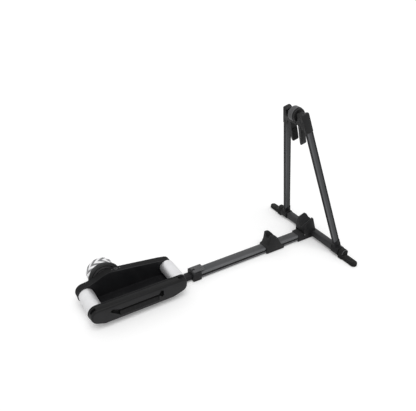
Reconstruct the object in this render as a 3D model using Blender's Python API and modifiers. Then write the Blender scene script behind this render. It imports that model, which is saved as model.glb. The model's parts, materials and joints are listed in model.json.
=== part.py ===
"""Wheel-on smart trainer: a roller unit with a belt-driven flywheel, a telescoping beam
with a wheel chock and cradle, and a folding A-frame stand whose two jaws hold the front wheel.

Frame: +X points to the front stand, +Z is up, and the origin lies on the floor below the
middle of the whole trainer. All sizes are in metres.
"""

import math

import bmesh
import bpy
from mathutils import Matrix, Vector

# Clearances
GAP = 0.0003
SLIDE_GAP = 0.0006

# Stations along the trainer
ROLLER_SPACING = 0.459
ROLLER_AXIS_HEIGHT = 0.087
STAND_REACH = 0.9666
WHEEL_RADIUS = 0.338
WHEEL_LIFT = 0.026
WHEEL_SETBACK = 0.2144

# Rollers
ROLLER_RADIUS = 0.0405
ROLLER_LENGTH = 0.147
ROLLER_WALL = 0.004
ROLLER_END_GAP = 0.001
AXLE_RADIUS = 0.0085
AXLE_FLAT_END = 0.012

# Frame plates and covers of the roller unit
FRAME_THICKNESS = 0.005
FRAME_END_RADIUS = 0.0450
FRAME_FRONT_RADIUS = 0.0410
FRAME_BELLY_HEIGHT = 0.030
BELLY_REAR_INSET = 0.026
BELLY_FRONT_INSET = 0.056
COVER_INSET = 0.002
RIGHT_COVER_DEPTH = 0.0410
RIGHT_COVER_ROUND = 0.011
RIGHT_COVER_REAR_DRAFT = 0.003
RIGHT_COVER_FRONT_DRAFT = 0.015
RIGHT_COVER_DRAFT_REACH = 0.060
LEFT_COVER_DEPTH = 0.0425
LEFT_COVER_ROUND = 0.0045
LEFT_COVER_WALL = 0.003
HUMP_HEIGHT = 0.0425
HUMP_PEAK = 0.144
HUMP_END = 0.472
HUMP_SLOPE_POWER = 1.08
LEFT_FRONT_RADIUS = 0.0385

# Power inlet in the left cover
INLET_RADIUS = 0.006
INLET_BACK = 0.110
INLET_RISE = 0.035

# Hand grip in the right cover: a sloped groove between two pockets.
# Pocket corners are measured forwards from the rear roller's axis and up from the floor.
GRIP_START = 0.104
GRIP_END = 0.320
GRIP_LOW = 0.050
GRIP_TOP = 0.091
GRIP_DEPTH = 0.013
GRIP_RIB_PITCH = 0.027
GRIP_RIB_WIDTH = 0.005
GRIP_RIB_HEIGHT = 0.0015
POCKET_DEPTH = 0.018
REAR_POCKET = ((0.055, 0.093), (0.107, 0.054), (0.107, 0.090), (0.068, 0.108))
FRONT_POCKET = ((0.316, 0.086), (0.336, 0.066), (0.347, 0.072), (0.347, 0.104), (0.332, 0.110))

# Control board behind the grip
BOARD_ROOM_DEPTH = 0.014
BOARD_START = 0.116
BOARD_END = 0.276

# Belt drive: ribbed belts, pulleys and tensioner
RIB_DEPTH = 0.0016
BELT_RIBS = 3
BELT_PITCH = 0.0030
BELT_BACK = 0.0014
LANE_GAP = 0.0036
ROLLER_PULLEY_RADIUS = 0.0185
DRIVE_PULLEY_RADIUS = 0.034
FLYWHEEL_PULLEY_RADIUS = 0.013
TENSIONER_RADIUS = 0.014
TENSIONER_STATION = 0.250
TENSIONER_DROP = 0.012
PULLEY_LIP = 0.0018

# Flywheel and brake
FLYWHEEL_FORWARD = 0.1227
FLYWHEEL_AXIS_HEIGHT = 0.118
FLYWHEEL_RADIUS = 0.075
FLYWHEEL_WIDTH = 0.050
FLYWHEEL_RIM = 0.016
FLYWHEEL_WEB = 0.012
FLYWHEEL_HUB_RADIUS = 0.018
BRAKE_RADIUS = 0.086
BRAKE_DEPTH = 0.0255
BRAKE_STEP = 0.0075
BRAKE_WALL = 0.003
STATOR_RADIUS = 0.055
STATOR_CORE_RADIUS = 0.030
STATOR_POLES = 6

# Flange bearings
BEARING_RADIUS = 0.017
BEARING_FLANGE_RADIUS = 0.0225
BEARING_FLANGE = 0.005

# Base of the roller unit
PAN_TOP = 0.0438
PAN_SHEET = 0.0025
PAN_LIP = 0.012
PAN_SHELF = 0.030
CROSS_MEMBER_WIDTH = 0.030
CROSS_MEMBER_BOTTOM = 0.0070
REAR_MEMBER_STATION = 0.112
FRONT_MEMBER_STATION = 0.372
PAD_WIDTH = 0.026
PAD_LENGTH = 0.140

# Slide tube and beam
SLIDE_WIDTH = 0.042
SLIDE_HEIGHT = 0.029
SLIDE_WALL = 0.003
SLIDE_BACK = 0.350
SLIDE_FRONT = 0.345
BEAM_WIDTH = 0.055
BEAM_HEIGHT = 0.040
BEAM_BOTTOM = 0.006
BEAM_WALL = 0.0035
BEAM_CORNER = 0.005
BEAM_REAR_STATION = 0.1138
GROOVE_DEPTH = 0.0016
GROOVE_LOW = 0.012
GROOVE_HIGH = 0.026

# Clamp collar and lever
COLLAR_LENGTH = 0.054
COLLAR_WALL = 0.0082
COLLAR_LIP = 0.0055
COLLAR_DROP = 0.003
LEVER_LENGTH = 0.0628
LEVER_HALF_WIDTH = 0.0265
LEVER_PIN_RADIUS = 0.004
LEVER_CAM_RADIUS = 0.0072
LEVER_PIN_BACK = 0.0152
LUG_HALF_WIDTH = 0.006
LUG_BASE = 0.010

# Wheel chock on the beam
CHOCK_STATION = 0.600
CHOCK_WALL = 0.0085
CHOCK_LENGTH = 0.134
CHOCK_FLOOR_GAP = 0.004
CHOCK_HORN_HEIGHT = 0.121

# Tyre grooves of the chock and the cradle: rise from the tyre's bottom and half width there
GROOVE_CLEARANCE = 0.003
CHOCK_GROOVE = ((0.0, 0.013), (0.006, 0.016), (0.050, 0.030))
CRADLE_GROOVE = ((0.0, 0.011), (0.008, 0.018), (0.032, 0.040), (0.056, 0.052))

# Front block, cradle and cross tube
BLOCK_LENGTH = 0.122
BLOCK_WALL = 0.0055
BLOCK_TOP = 0.064
BLOCK_FRONT = 0.006
CRADLE_HALF_WIDTH = 0.042
CRADLE_HEIGHT = 0.148
CRADLE_BACK = 0.088
CRADLE_FRONT = 0.001
CRADLE_CREST = 0.0238
CRADLE_SKIRT = 0.046
CROSS_WIDTH = 0.040
CROSS_HEIGHT = 0.042
CROSS_WALL = 0.003
CROSS_HALF_LENGTH = 0.2085
CROSS_AXIS_HEIGHT = 0.033

# Pivot pins, knuckles and stabiliser feet
PIVOT_RADIUS = 0.016
PIVOT_PLUG = 0.032
KNUCKLE_RADIUS = 0.030
KNUCKLE_LENGTH = 0.057
KNUCKLE_SOCKET = 0.058
SIDE_GAP = 0.003
FOOT_HALF_SPAN = 0.3975
FOOT_BLOCK = 0.032
FOOT_WIDTH = 0.048
FOOT_HEIGHT = 0.062
TONGUE_WIDTH = 0.040
TONGUE_HEIGHT = 0.026
TONGUE_LIFT = 0.0006
PIN_SEAT = 0.024

# Stand, in its own leaning frame
STAND_LEAN = math.radians(13.6)
LEG_HEAD_HALF = 0.0757
LEG_FORWARD = 0.0025
LEG_DEPTH = 0.042
LEG_WIDTH = 0.022
LEG_WALL = 0.0025
LEG_START = 0.034

# Head: yoke, lead screw, drum and jaws, with heights measured from the screw's axis
SCREW_HEIGHT = 0.822
SCREW_FORWARD = 0.004
SCREW_RADIUS = 0.006
SCREW_SEAT = 0.003
DRUM_RADIUS = 0.0375
DRUM_RIGHT = 0.0240
DRUM_FLUTES = 20
FLUTE_DEPTH = 0.0016
RING_RADIUS = 0.041
RING_LEFT = 0.0235
RING_WIDTH = 0.032
DRUM_CLEARANCE = 0.0012
SLEEVE_WALL = 0.0022
SLEEVE_RISE = 0.027
SLEEVE_LENGTH = 0.107
SLEEVE_CAP = 0.006
YOKE_DROP = 0.020
YOKE_DEPTH = 0.043
YOKE_WALL = 0.004
YOKE_HALF_SPAN = 0.086
CHEEK_HALF = 0.0585
CHEEK_THICKNESS = 0.018
CHEEK_MARGIN = 0.006
BROW_INNER = 0.0465
BROW_THICKNESS = 0.010
HEAD_COVER_RISE = 0.024
HEAD_COVER_LEFT = 0.0335
HEAD_COVER_WALL = 0.003
GUIDE_RADIUS = 0.004
GUIDE_CLEARANCE = 0.009
GUIDE_COVER = 0.005
JAW_INNER = 0.030
JAW_THICKNESS = 0.022
JAW_HALF_WIDTH = 0.020
JAW_HEIGHT = 0.1254
JAW_ARM_INNER = 0.039
JAW_ARM = 0.0085
JAW_ARM_HALF = 0.0115
JAW_NUT_INNER = 0.040
JAW_NUT_LENGTH = 0.012
JAW_NUT_RADIUS = 0.0125
JAW_PAD = 0.0032
JAW_PAD_HEIGHT = 0.078

# Stations that follow from the sizes above
TOTAL_LENGTH = FRAME_END_RADIUS + ROLLER_SPACING + STAND_REACH + KNUCKLE_RADIUS
REAR_X = FRAME_END_RADIUS - TOTAL_LENGTH / 2
FRONT_X = REAR_X + ROLLER_SPACING
CROSS_X = FRONT_X + STAND_REACH
WHEEL_X = CROSS_X - WHEEL_SETBACK
FLYWHEEL_X = REAR_X + FLYWHEEL_FORWARD
FRAME_Y = ROLLER_LENGTH / 2 + ROLLER_END_GAP
COVER_Y = FRAME_Y + FRAME_THICKNESS + GAP
FLANGE_Y = COVER_Y + BEARING_FLANGE
LANE_WIDTH = BELT_RIBS * BELT_PITCH
LANE_ONE_Y = FLANGE_Y + LANE_GAP + LANE_WIDTH / 2
LANE_TWO_Y = LANE_ONE_Y + LANE_WIDTH + LANE_GAP
LEFT_FACE_Y = COVER_Y + LEFT_COVER_DEPTH
BRAKE_Y = LEFT_FACE_Y + GAP
FLYWHEEL_Y = BRAKE_Y + BRAKE_DEPTH + 0.002
BEAM_REAR_X = FRONT_X + BEAM_REAR_STATION
BEAM_TOP = BEAM_BOTTOM + BEAM_HEIGHT
WHEEL_AXLE_HEIGHT = BEAM_TOP + WHEEL_LIFT + WHEEL_RADIUS
BEAM_MID = BEAM_BOTTOM + BEAM_HEIGHT / 2
SLIDE_LOW = BEAM_MID - SLIDE_HEIGHT / 2
SLIDE_HIGH = BEAM_MID + SLIDE_HEIGHT / 2
KNUCKLE_Y = CROSS_HALF_LENGTH + SIDE_GAP
FOOT_Y = KNUCKLE_Y + KNUCKLE_LENGTH + SIDE_GAP
LEG_FOOT_HALF = KNUCKLE_Y + KNUCKLE_LENGTH / 2
LEG_SPREAD = math.atan2(LEG_FOOT_HALF - LEG_HEAD_HALF, SCREW_HEIGHT)
GUIDE_HEIGHT = SCREW_HEIGHT - RING_RADIUS - GUIDE_CLEARANCE - GUIDE_RADIUS
YOKE_LOW = GUIDE_HEIGHT + GUIDE_RADIUS + GUIDE_COVER
YOKE_HIGH = SCREW_HEIGHT - YOKE_DROP
SLEEVE_TOP = SCREW_HEIGHT + SLEEVE_RISE
SLEEVE_BOTTOM = SLEEVE_TOP - SLEEVE_LENGTH
LEG_TOP = SLEEVE_TOP - SLEEVE_CAP
JAW_TOP = YOKE_LOW - SLIDE_GAP
JAW_BOTTOM = JAW_TOP - JAW_HEIGHT
DRUM_LEFT = RING_LEFT - RING_WIDTH - GAP

FINISHES = {
    "black_plastic": ((0.022, 0.022, 0.024), 0.48, 0.0),
    "grey_plastic": ((0.165, 0.165, 0.17), 0.45, 0.0),
    "black_steel": ((0.02, 0.02, 0.022), 0.42, 0.3),
    "black_rubber": ((0.018, 0.018, 0.018), 0.85, 0.0),
    "anodised": ((0.075, 0.076, 0.08), 0.38, 0.6),
    "roller_metal": ((0.78, 0.79, 0.80), 0.28, 1.0),
    "bright_steel": ((0.6, 0.6, 0.61), 0.3, 1.0),
    "dark_iron": ((0.12, 0.12, 0.125), 0.5, 0.6),
    "copper_brown": ((0.35, 0.2, 0.11), 0.45, 0.5),
    "board_green": ((0.03, 0.12, 0.06), 0.5, 0.0),
}

PARTS = "wheel_on_trainer"
CUTTERS = "cutters"


def clear_scene():
    for old in list(bpy.data.objects):
        bpy.data.objects.remove(old, do_unlink=True)
    for name in (PARTS, CUTTERS):
        collection = bpy.data.collections.new(name)
        bpy.context.scene.collection.children.link(collection)


def add_object(name, mesh, finish=None, carrier=None):
    """A new object: a part with a finish, or a cutter without one."""
    obj = bpy.data.objects.new(name, mesh)
    home = PARTS if finish else CUTTERS
    bpy.data.collections[home].objects.link(obj)
    if finish:
        colour, roughness, metallic = FINISHES[finish]
        material = bpy.data.materials.new(name + "_" + finish)
        material.use_nodes = True
        shader = material.node_tree.nodes["Principled BSDF"]
        shader.inputs["Base Color"].default_value = (*colour, 1.0)
        shader.inputs["Roughness"].default_value = roughness
        shader.inputs["Metallic"].default_value = metallic
        material.diffuse_color = (*colour, 1.0)
        mesh.materials.append(material)
    else:
        obj.hide_render = True
        obj.display_type = "WIRE"
    if carrier:
        obj.parent = carrier
    return obj


def pivot(name, location, rotation=(0.0, 0.0, 0.0)):
    """An empty on a joint axis, which carries the pieces that move with it."""
    empty = bpy.data.objects.new(name, None)
    bpy.data.collections[PARTS].objects.link(empty)
    empty.location = location
    empty.rotation_euler = rotation
    empty.empty_display_size = 0.03
    return empty


def carried(obj, empty):
    """Parents a piece whose place is given in the trainer's frame."""
    obj.parent = empty
    obj.matrix_parent_inverse = Matrix.Translation(-empty.location)
    return obj


def arc(centre_u, centre_v, radius, start, end, count):
    """Points on a circular arc, angles in degrees."""
    points = []
    for step in range(count + 1):
        angle = math.radians(start + (end - start) * step / count)
        points.append((centre_u + radius * math.cos(angle), centre_v + radius * math.sin(angle)))
    return points


def rounded_rectangle(low_u, high_u, low_v, high_v, radius, count=3):
    """A rectangle with round corners, counter-clockwise."""
    return (
        arc(high_u - radius, low_v + radius, radius, -90, 0, count)
        + arc(high_u - radius, high_v - radius, radius, 0, 90, count)
        + arc(low_u + radius, high_v - radius, radius, 90, 180, count)
        + arc(low_u + radius, low_v + radius, radius, 180, 270, count)
    )


def inset(points, distance):
    """The outline moved inwards by a distance, point by point along the mitred corner."""
    moved = []
    count = len(points)
    for index in range(count):
        before = Vector(points[index - 1])
        here = Vector(points[index])
        after = Vector(points[(index + 1) % count])
        first = (here - before).normalized()
        second = (after - here).normalized()
        normal = Vector((-first.y, first.x)) + Vector((-second.y, second.x))
        normal.normalize()
        slope = max(0.5, normal.dot(Vector((-first.y, first.x))))
        moved.append(tuple(here + normal * distance / slope))
    return moved


TURNS = {
    "XY": (0.0, 0.0, 0.0),
    "XZ": (math.pi / 2, 0.0, 0.0),
    "YZ": (math.pi / 2, 0.0, math.pi / 2),
}


def plate(name, loops, thickness, plane, place, finish=None, carrier=None):
    """A flat outline with its holes, thickened to both sides of a plane through place."""
    curve = bpy.data.curves.new(name + "_outline", "CURVE")
    curve.dimensions = "2D"
    curve.fill_mode = "BOTH"
    curve.extrude = thickness / 2
    for loop in loops:
        spline = curve.splines.new("POLY")
        spline.points.add(len(loop) - 1)
        for point, (u, v) in zip(spline.points, loop):
            point.co = (u, v, 0.0, 1.0)
        spline.use_cyclic_u = True
    source = bpy.data.objects.new(name + "_outline", curve)
    bpy.context.scene.collection.objects.link(source)
    bpy.context.view_layer.update()
    graph = bpy.context.evaluated_depsgraph_get()
    mesh = bpy.data.meshes.new_from_object(source.evaluated_get(graph))
    mesh.name = name
    bpy.data.objects.remove(source, do_unlink=True)
    work = bmesh.new()
    work.from_mesh(mesh)
    bmesh.ops.remove_doubles(work, verts=work.verts, dist=1e-6)
    if len(loops) == 1:
        bmesh.ops.dissolve_limit(work, angle_limit=0.002, verts=work.verts, edges=work.edges)
    bmesh.ops.recalc_face_normals(work, faces=work.faces)
    work.to_mesh(mesh)
    work.free()
    obj = add_object(name, mesh, finish, carrier)
    obj.rotation_euler = TURNS[plane]
    obj.location = place
    return obj


def block(name, low, high, finish=None, carrier=None):
    """A box between two opposite corners."""
    mesh = bpy.data.meshes.new(name)
    work = bmesh.new()
    size = [abs(high[axis] - low[axis]) for axis in range(3)]
    bmesh.ops.create_cube(work, size=1.0, matrix=Matrix.Diagonal((*size, 1.0)))
    work.to_mesh(mesh)
    work.free()
    obj = add_object(name, mesh, finish, carrier)
    obj.location = [(low[axis] + high[axis]) / 2 for axis in range(3)]
    return obj


def turned(name, profile, place, finish=None, carrier=None, steps=32, ring=False, axis="Y"):
    """A shape turned about an axis. The profile gives radius and place along the axis."""
    mesh = bpy.data.meshes.new(name)
    vertices = [(radius, 0.0, along) for radius, along in profile]
    edges = [(index, index + 1) for index in range(len(profile) - 1)]
    if ring:
        edges.append((len(profile) - 1, 0))
    mesh.from_pydata(vertices, edges, [])
    obj = add_object(name, mesh, finish, carrier)
    screw = obj.modifiers.new("Turn", "SCREW")
    screw.axis = "Z"
    screw.angle = 2 * math.pi
    screw.steps = steps
    screw.render_steps = steps
    screw.use_merge_vertices = True
    screw.merge_threshold = 1e-5
    screw.use_smooth_shade = True
    obj.rotation_euler = (-math.pi / 2, 0.0, 0.0) if axis == "Y" else (0.0, 0.0, 0.0)
    obj.location = place
    return obj


def rod(name, radius, low, high, place, finish=None, carrier=None, steps=20, chamfer=0.0):
    """A round bar along Y between two stations, with an optional chamfer at both ends."""
    profile = [(0.0, high), (radius - chamfer, high)]
    if chamfer:
        profile += [(radius, high - chamfer), (radius, low + chamfer)]
    else:
        profile += [(radius, low)]
    if chamfer:
        profile += [(radius - chamfer, low)]
    profile += [(0.0, low)]
    return turned(name, profile, place, finish, carrier, steps)


def rounded(obj, width, segments=2, angle=50):
    bevel = obj.modifiers.new("Round", "BEVEL")
    bevel.width = width
    bevel.segments = segments
    bevel.limit_method = "ANGLE"
    bevel.angle_limit = math.radians(angle)
    bevel.use_clamp_overlap = True
    return obj


def boolean(obj, other, operation):
    modifier = obj.modifiers.new(operation.title(), "BOOLEAN")
    modifier.operation = operation
    modifier.solver = "EXACT"
    modifier.object = other
    return obj


def cut(obj, *cutters):
    for cutter in cutters:
        boolean(obj, cutter, "DIFFERENCE")
    return obj


def fuse(obj, *others):
    for other in others:
        boolean(obj, other, "UNION")
    return obj


# Roller unit


def tangent_angle(point, centre, radius, side):
    """Angle on a circle, in degrees, where the line from an outside point touches it."""
    offset_u = point[0] - centre[0]
    offset_v = point[1] - centre[1]
    reach = math.hypot(offset_u, offset_v)
    base = math.atan2(offset_v, offset_u)
    return math.degrees(base + side * math.acos(radius / reach))


def hump_rise(x, height):
    """Height of the belt hump above the straight top: a raised cosine behind its peak and
    a nearly straight slope in front of it."""
    peak = REAR_X + HUMP_PEAK
    if x < peak:
        return height * math.cos((peak - x) / HUMP_PEAK * math.pi / 2) ** 2
    share = min(1.0, (x - peak) / (HUMP_END - HUMP_PEAK))
    return height * (1 - share**HUMP_SLOPE_POWER)


def side_outline(margin=0.0, hump=0.0):
    """Side view of a roller housing: round ends about the roller axes, a flat belly that
    rises to both ends, and a straight or humped top."""
    height = ROLLER_AXIS_HEIGHT
    rear_radius = FRAME_END_RADIUS - margin
    front_radius = (LEFT_FRONT_RADIUS if hump else FRAME_FRONT_RADIUS) - margin
    belly = FRAME_BELLY_HEIGHT + margin
    rear_corner = (REAR_X + BELLY_REAR_INSET, belly)
    front_corner = (FRONT_X - BELLY_FRONT_INSET, belly)
    front_start = tangent_angle(front_corner, (FRONT_X, height), front_radius, 1)
    rear_end = tangent_angle(rear_corner, (REAR_X, height), rear_radius, -1)
    points = [rear_corner, front_corner]
    points += arc(FRONT_X, height, front_radius, front_start, 90, 9)
    if hump:
        count = 18
        for step in range(1, count):
            x = FRONT_X + (REAR_X - FRONT_X) * step / count
            straight = front_radius + (rear_radius - front_radius) * step / count
            points.append((x, height + straight + hump_rise(x, hump)))
    points += arc(REAR_X, height, rear_radius, 90, 360 + rear_end, 11)
    return points


def ribbed_profile(radius, centre, lip):
    """Right-hand half profile of one ribbed lane, from its left edge to its right edge."""
    half = LANE_WIDTH / 2
    profile = [(radius + lip, centre + half + GAP), (radius, centre + half + GAP)]
    for rib in range(BELT_RIBS):
        top = centre + half - rib * BELT_PITCH
        profile.append((radius, top - 0.0002))
        profile.append((radius - RIB_DEPTH, top - BELT_PITCH / 2))
    profile += [(radius, centre - half - GAP), (radius + lip, centre - half - GAP)]
    return profile


def pulley(name, lanes, place, bore, low, high, carrier, steps):
    """A turned pulley with one or two ribbed lanes, bored for its axle."""
    profile = [(bore + GAP, high)]
    for radius, centre in lanes:
        profile += ribbed_profile(radius, centre, PULLEY_LIP)
    first_radius = lanes[0][0] + PULLEY_LIP
    last_radius = lanes[-1][0] + PULLEY_LIP
    profile.insert(1, (first_radius, high))
    profile += [(last_radius, low), (bore + GAP, low)]
    return turned(name, profile, place, "anodised", carrier, steps, ring=True)


def loop_path(circles, arc_steps):
    """The taut loop round a chain of circles, given counter-clockwise: tangent runs and arcs.
    Returns points with the direction that faces away from the loop."""
    path = []
    count = len(circles)
    angles = []
    for index in range(count):
        u0, v0, r0 = circles[index]
        u1, v1, r1 = circles[(index + 1) % count]
        heading = math.atan2(v1 - v0, u1 - u0)
        reach = math.hypot(u1 - u0, v1 - v0)
        angles.append(heading - math.acos((r0 - r1) / reach))
    for index in range(count):
        u, v, radius = circles[index]
        start = angles[index - 1]
        end = angles[index]
        while end < start:
            end += 2 * math.pi
        steps = max(2, round(arc_steps * (end - start) / math.pi))
        for step in range(steps + 1):
            angle = start + (end - start) * step / steps
            away = (math.cos(angle), math.sin(angle))
            path.append((u + radius * away[0], v + radius * away[1], *away))
    return path


def belt(name, circles, lane, carrier=None, arc_steps=10):
    """A ribbed belt: its section, ribs inwards, carried along the taut loop."""
    half = LANE_WIDTH / 2
    section = [(BELT_BACK, half), (0.0, half)]
    for rib in range(BELT_RIBS):
        top = half - rib * BELT_PITCH
        section.append((-RIB_DEPTH + GAP, top - BELT_PITCH / 2))
        if rib < BELT_RIBS - 1:
            section.append((0.0, top - BELT_PITCH))
    section += [(0.0, -half), (BELT_BACK, -half)]
    path = loop_path([(u, v, radius + 2 * GAP) for u, v, radius in circles], arc_steps)
    work = bmesh.new()
    rows = []
    for u, v, away_u, away_v in path:
        row = [work.verts.new((u + away_u * out, lane + side, v + away_v * out)) for out, side in section]
        rows.append(row)
    for index, row in enumerate(rows):
        following = rows[(index + 1) % len(rows)]
        for side in range(len(section)):
            beside = (side + 1) % len(section)
            work.faces.new((row[side], row[beside], following[beside], following[side]))
    bmesh.ops.recalc_face_normals(work, faces=work.faces)
    mesh = bpy.data.meshes.new(name)
    work.to_mesh(mesh)
    work.free()
    return add_object(name, mesh, "black_rubber", carrier)


def make_roller(end, station, carrier, pulley_lanes):
    """Drum, axle and pulley of one roller. The axle runs in the frame plates' bearings."""
    place = (station, 0.0, ROLLER_AXIS_HEIGHT)
    half = ROLLER_LENGTH / 2
    bore = AXLE_RADIUS + GAP
    inner = ROLLER_RADIUS - ROLLER_WALL
    web = 0.006
    profile = [
        (ROLLER_RADIUS, half),
        (ROLLER_RADIUS, -half),
        (bore, -half),
        (bore, web - half),
        (inner, web - half),
        (inner, half - web),
        (bore, half - web),
        (bore, half),
    ]
    carried(turned(end + "_drum", profile, place, "roller_metal", None, 32, ring=True), carrier)
    stations = [lane[1] for lane in pulley_lanes]
    lane_low = min(stations) - LANE_WIDTH / 2 - LANE_GAP / 2
    lane_high = max(stations) + LANE_WIDTH / 2 + LANE_GAP / 2
    low = -FLANGE_Y - AXLE_FLAT_END
    axle = rod(end + "_axle", AXLE_RADIUS, low, lane_high + 0.002, place, "bright_steel", None, 20, 0.001)
    flat = 0.006
    for side in (1, -1):
        cutter = block(
            end + "_axle_flat_" + str(side),
            (station - 0.02, low - 0.001, ROLLER_AXIS_HEIGHT + side * flat),
            (station + 0.02, low + AXLE_FLAT_END - 0.002, ROLLER_AXIS_HEIGHT + side * 0.02),
        )
        cut(axle, carried(cutter, carrier))
    carried(axle, carrier)
    lanes = sorted(pulley_lanes, key=lambda lane: -lane[1])
    wheel = pulley(end + "_pulley", lanes, place, AXLE_RADIUS, lane_low, lane_high, None, 20)
    carried(wheel, carrier)


def flange_bearing(name, place, side):
    """A flange bearing: its body fills the plate's hole and its flange lies on the outer face."""
    bore = AXLE_RADIUS + GAP
    inner = side * FRAME_Y
    seat = side * (FRAME_Y + FRAME_THICKNESS + GAP)
    outer = side * FLANGE_Y
    profile = [
        (bore, inner),
        (BEARING_RADIUS, inner),
        (BEARING_RADIUS, seat),
        (BEARING_FLANGE_RADIUS, seat),
        (BEARING_FLANGE_RADIUS, outer),
        (bore, outer),
    ]
    if side > 0:
        profile.reverse()
    return turned(name, profile, place, "bright_steel", None, 18, ring=True)


def circle(u, v, radius, count=20):
    return arc(u, v, radius, 0, 360 - 360 / count, count - 1)


def make_frames():
    """Steel frame plates, their bearings and the base that joins them."""
    height = ROLLER_AXIS_HEIGHT
    hole = BEARING_RADIUS + GAP
    holes = [circle(REAR_X, height, hole), circle(FRONT_X, height, hole)]
    middle = FRAME_Y + FRAME_THICKNESS / 2
    plate("right_frame", [side_outline(), *holes], FRAME_THICKNESS, "XZ", (0, -middle, 0), "black_steel")
    outline = side_outline(hump=HUMP_HEIGHT)
    plate("left_frame", [outline, *holes], FRAME_THICKNESS, "XZ", (0, middle, 0), "black_steel")
    for side, word in ((-1, "right"), (1, "left")):
        flange_bearing("rear_bearing_" + word, (REAR_X, 0, height), side)
        flange_bearing("front_bearing_" + word, (FRONT_X, 0, height), side)
    bore = AXLE_RADIUS + GAP
    profile = [
        (BEARING_RADIUS, FLANGE_Y),
        (BEARING_FLANGE_RADIUS, FLANGE_Y - 0.002),
        (BEARING_FLANGE_RADIUS, COVER_Y),
        (bore, COVER_Y),
        (bore, FLANGE_Y),
    ]
    place = (FLYWHEEL_X, 0, FLYWHEEL_AXIS_HEIGHT)
    turned("flywheel_bearing_inner", profile, place, "bright_steel", None, 18, ring=True)


def cylinder_cutter(name, radius, low, high, x, z, steps=24):
    return rod(name, radius, low, high, (x, 0.0, z), steps=steps)


def make_right_cover():
    """Moulded right cover: round outer edge, long hand recess with ribs and two pockets,
    an axle window at the rear, a slot over the front axle and a hollow for the board."""
    depth = RIGHT_COVER_DEPTH
    inner = -COVER_Y
    outer = inner - depth
    height = ROLLER_AXIS_HEIGHT
    outline = side_outline(margin=COVER_INSET)
    cover = plate("right_cover", [outline], depth, "XZ", (0, (inner + outer) / 2, 0), "black_plastic")
    draft_ends(cover, outer)
    round_outer_edge(cover, outer, RIGHT_COVER_ROUND)
    middle = REAR_X + (GRIP_START + GRIP_END) / 2
    length = GRIP_END - GRIP_START
    groove = grip_section(outer, 0.0)
    cutters = [plate("grip_cutter", [groove], length, "YZ", (middle, 0, 0))]
    for word, corners in (("rear", REAR_POCKET), ("front", FRONT_POCKET)):
        shape = [(REAR_X + forward, up) for forward, up in corners]
        cutters.append(plate(word + "_pocket_cutter", [shape], 2 * POCKET_DEPTH, "XZ", (0, outer, 0)))
    for word, x in (("rear", REAR_X), ("front", FRONT_X)):
        radius = BEARING_FLANGE_RADIUS + 0.002
        low = inner - AXLE_FLAT_END - 0.009
        cutters.append(cylinder_cutter(word + "_bearing_room", radius, low, inner + 0.01, x, height))
    notch_low = (REAR_X - 0.036, outer + 0.014, height + 0.006)
    notch_high = (REAR_X - 0.008, inner - 0.008, height + 0.06)
    cutters.append(block("rear_notch_cutter", notch_low, notch_high))
    slot_low = (FRONT_X - 0.016, outer + 0.011, height + 0.0275)
    slot_high = (FRONT_X + 0.020, inner - 0.006, height + 0.06)
    cutters.append(block("front_slot_cutter", slot_low, slot_high))
    board_back = inner - BOARD_ROOM_DEPTH
    board_low = (REAR_X + BOARD_START, board_back, FRAME_BELLY_HEIGHT + 0.016)
    board_high = (REAR_X + BOARD_END, inner + 0.01, height + 0.022)
    cutters.append(block("board_room_cutter", board_low, board_high))
    cut(cover, *cutters)
    ribs = []
    for index in range(1, int(length / GRIP_RIB_PITCH)):
        x = REAR_X + GRIP_START + index * GRIP_RIB_PITCH
        section = grip_section(outer, GRIP_RIB_HEIGHT)
        ribs.append(plate("grip_rib_" + str(index), [section], GRIP_RIB_WIDTH, "YZ", (x, 0, 0)))
    fuse(cover, *ribs)
    edge = 0.004
    block(
        "control_board",
        (board_low[0] + edge, board_back + GAP, board_low[2] + edge),
        (board_high[0] - edge, board_back + GAP + 0.0016, board_high[2] - edge),
        "board_green",
    )


def grip_section(face, rib):
    """Section across the grip. Without a rib it is the groove, open at the cover's face.
    With a rib height it is a strip that stands on the groove's slope."""
    low = (face + 0.0008, GRIP_LOW)
    deep = (face + GRIP_DEPTH, GRIP_TOP - 0.003)
    if rib:
        bury = 0.004
        return [
            (low[0] + bury, low[1]),
            (deep[0] + bury, deep[1]),
            (deep[0] - rib, deep[1]),
            (low[0] + bury / 2 - rib, low[1] + 0.002),
        ]
    proud = face - 0.01
    return [(proud, GRIP_LOW), low, deep, (face + GRIP_DEPTH - 0.004, GRIP_TOP), (proud, GRIP_TOP)]


def draft_ends(obj, y):
    """Draws the ends of the outer face in towards the middle, so the cover is thinner there."""
    along = -y + obj.location.y
    rear = REAR_X - FRAME_END_RADIUS
    front = FRONT_X + FRAME_FRONT_RADIUS
    for vertex in obj.data.vertices:
        if abs(vertex.co.z - along) > 1e-5:
            continue
        into_rear = max(0.0, 1 - (vertex.co.x - rear) / RIGHT_COVER_DRAFT_REACH)
        into_front = max(0.0, 1 - (front - vertex.co.x) / RIGHT_COVER_DRAFT_REACH)
        vertex.co.x += RIGHT_COVER_REAR_DRAFT * into_rear - RIGHT_COVER_FRONT_DRAFT * into_front


def round_outer_edge(obj, y, width, segments=3):
    """Bevels only the rim of a cover on its outer face, by bevel weight."""
    mesh = obj.data
    weights = mesh.attributes.new("bevel_weight_edge", "FLOAT", "EDGE")
    along = -y + obj.location.y
    for edge in mesh.edges:
        ends = [mesh.vertices[index].co for index in edge.vertices]
        on_face = all(abs(end.z - along) < 1e-5 for end in ends)
        weights.data[edge.index].value = 1.0 if on_face else 0.0
    bevel = obj.modifiers.new("Round", "BEVEL")
    bevel.width = width
    bevel.segments = segments
    bevel.limit_method = "WEIGHT"
    return obj


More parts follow.
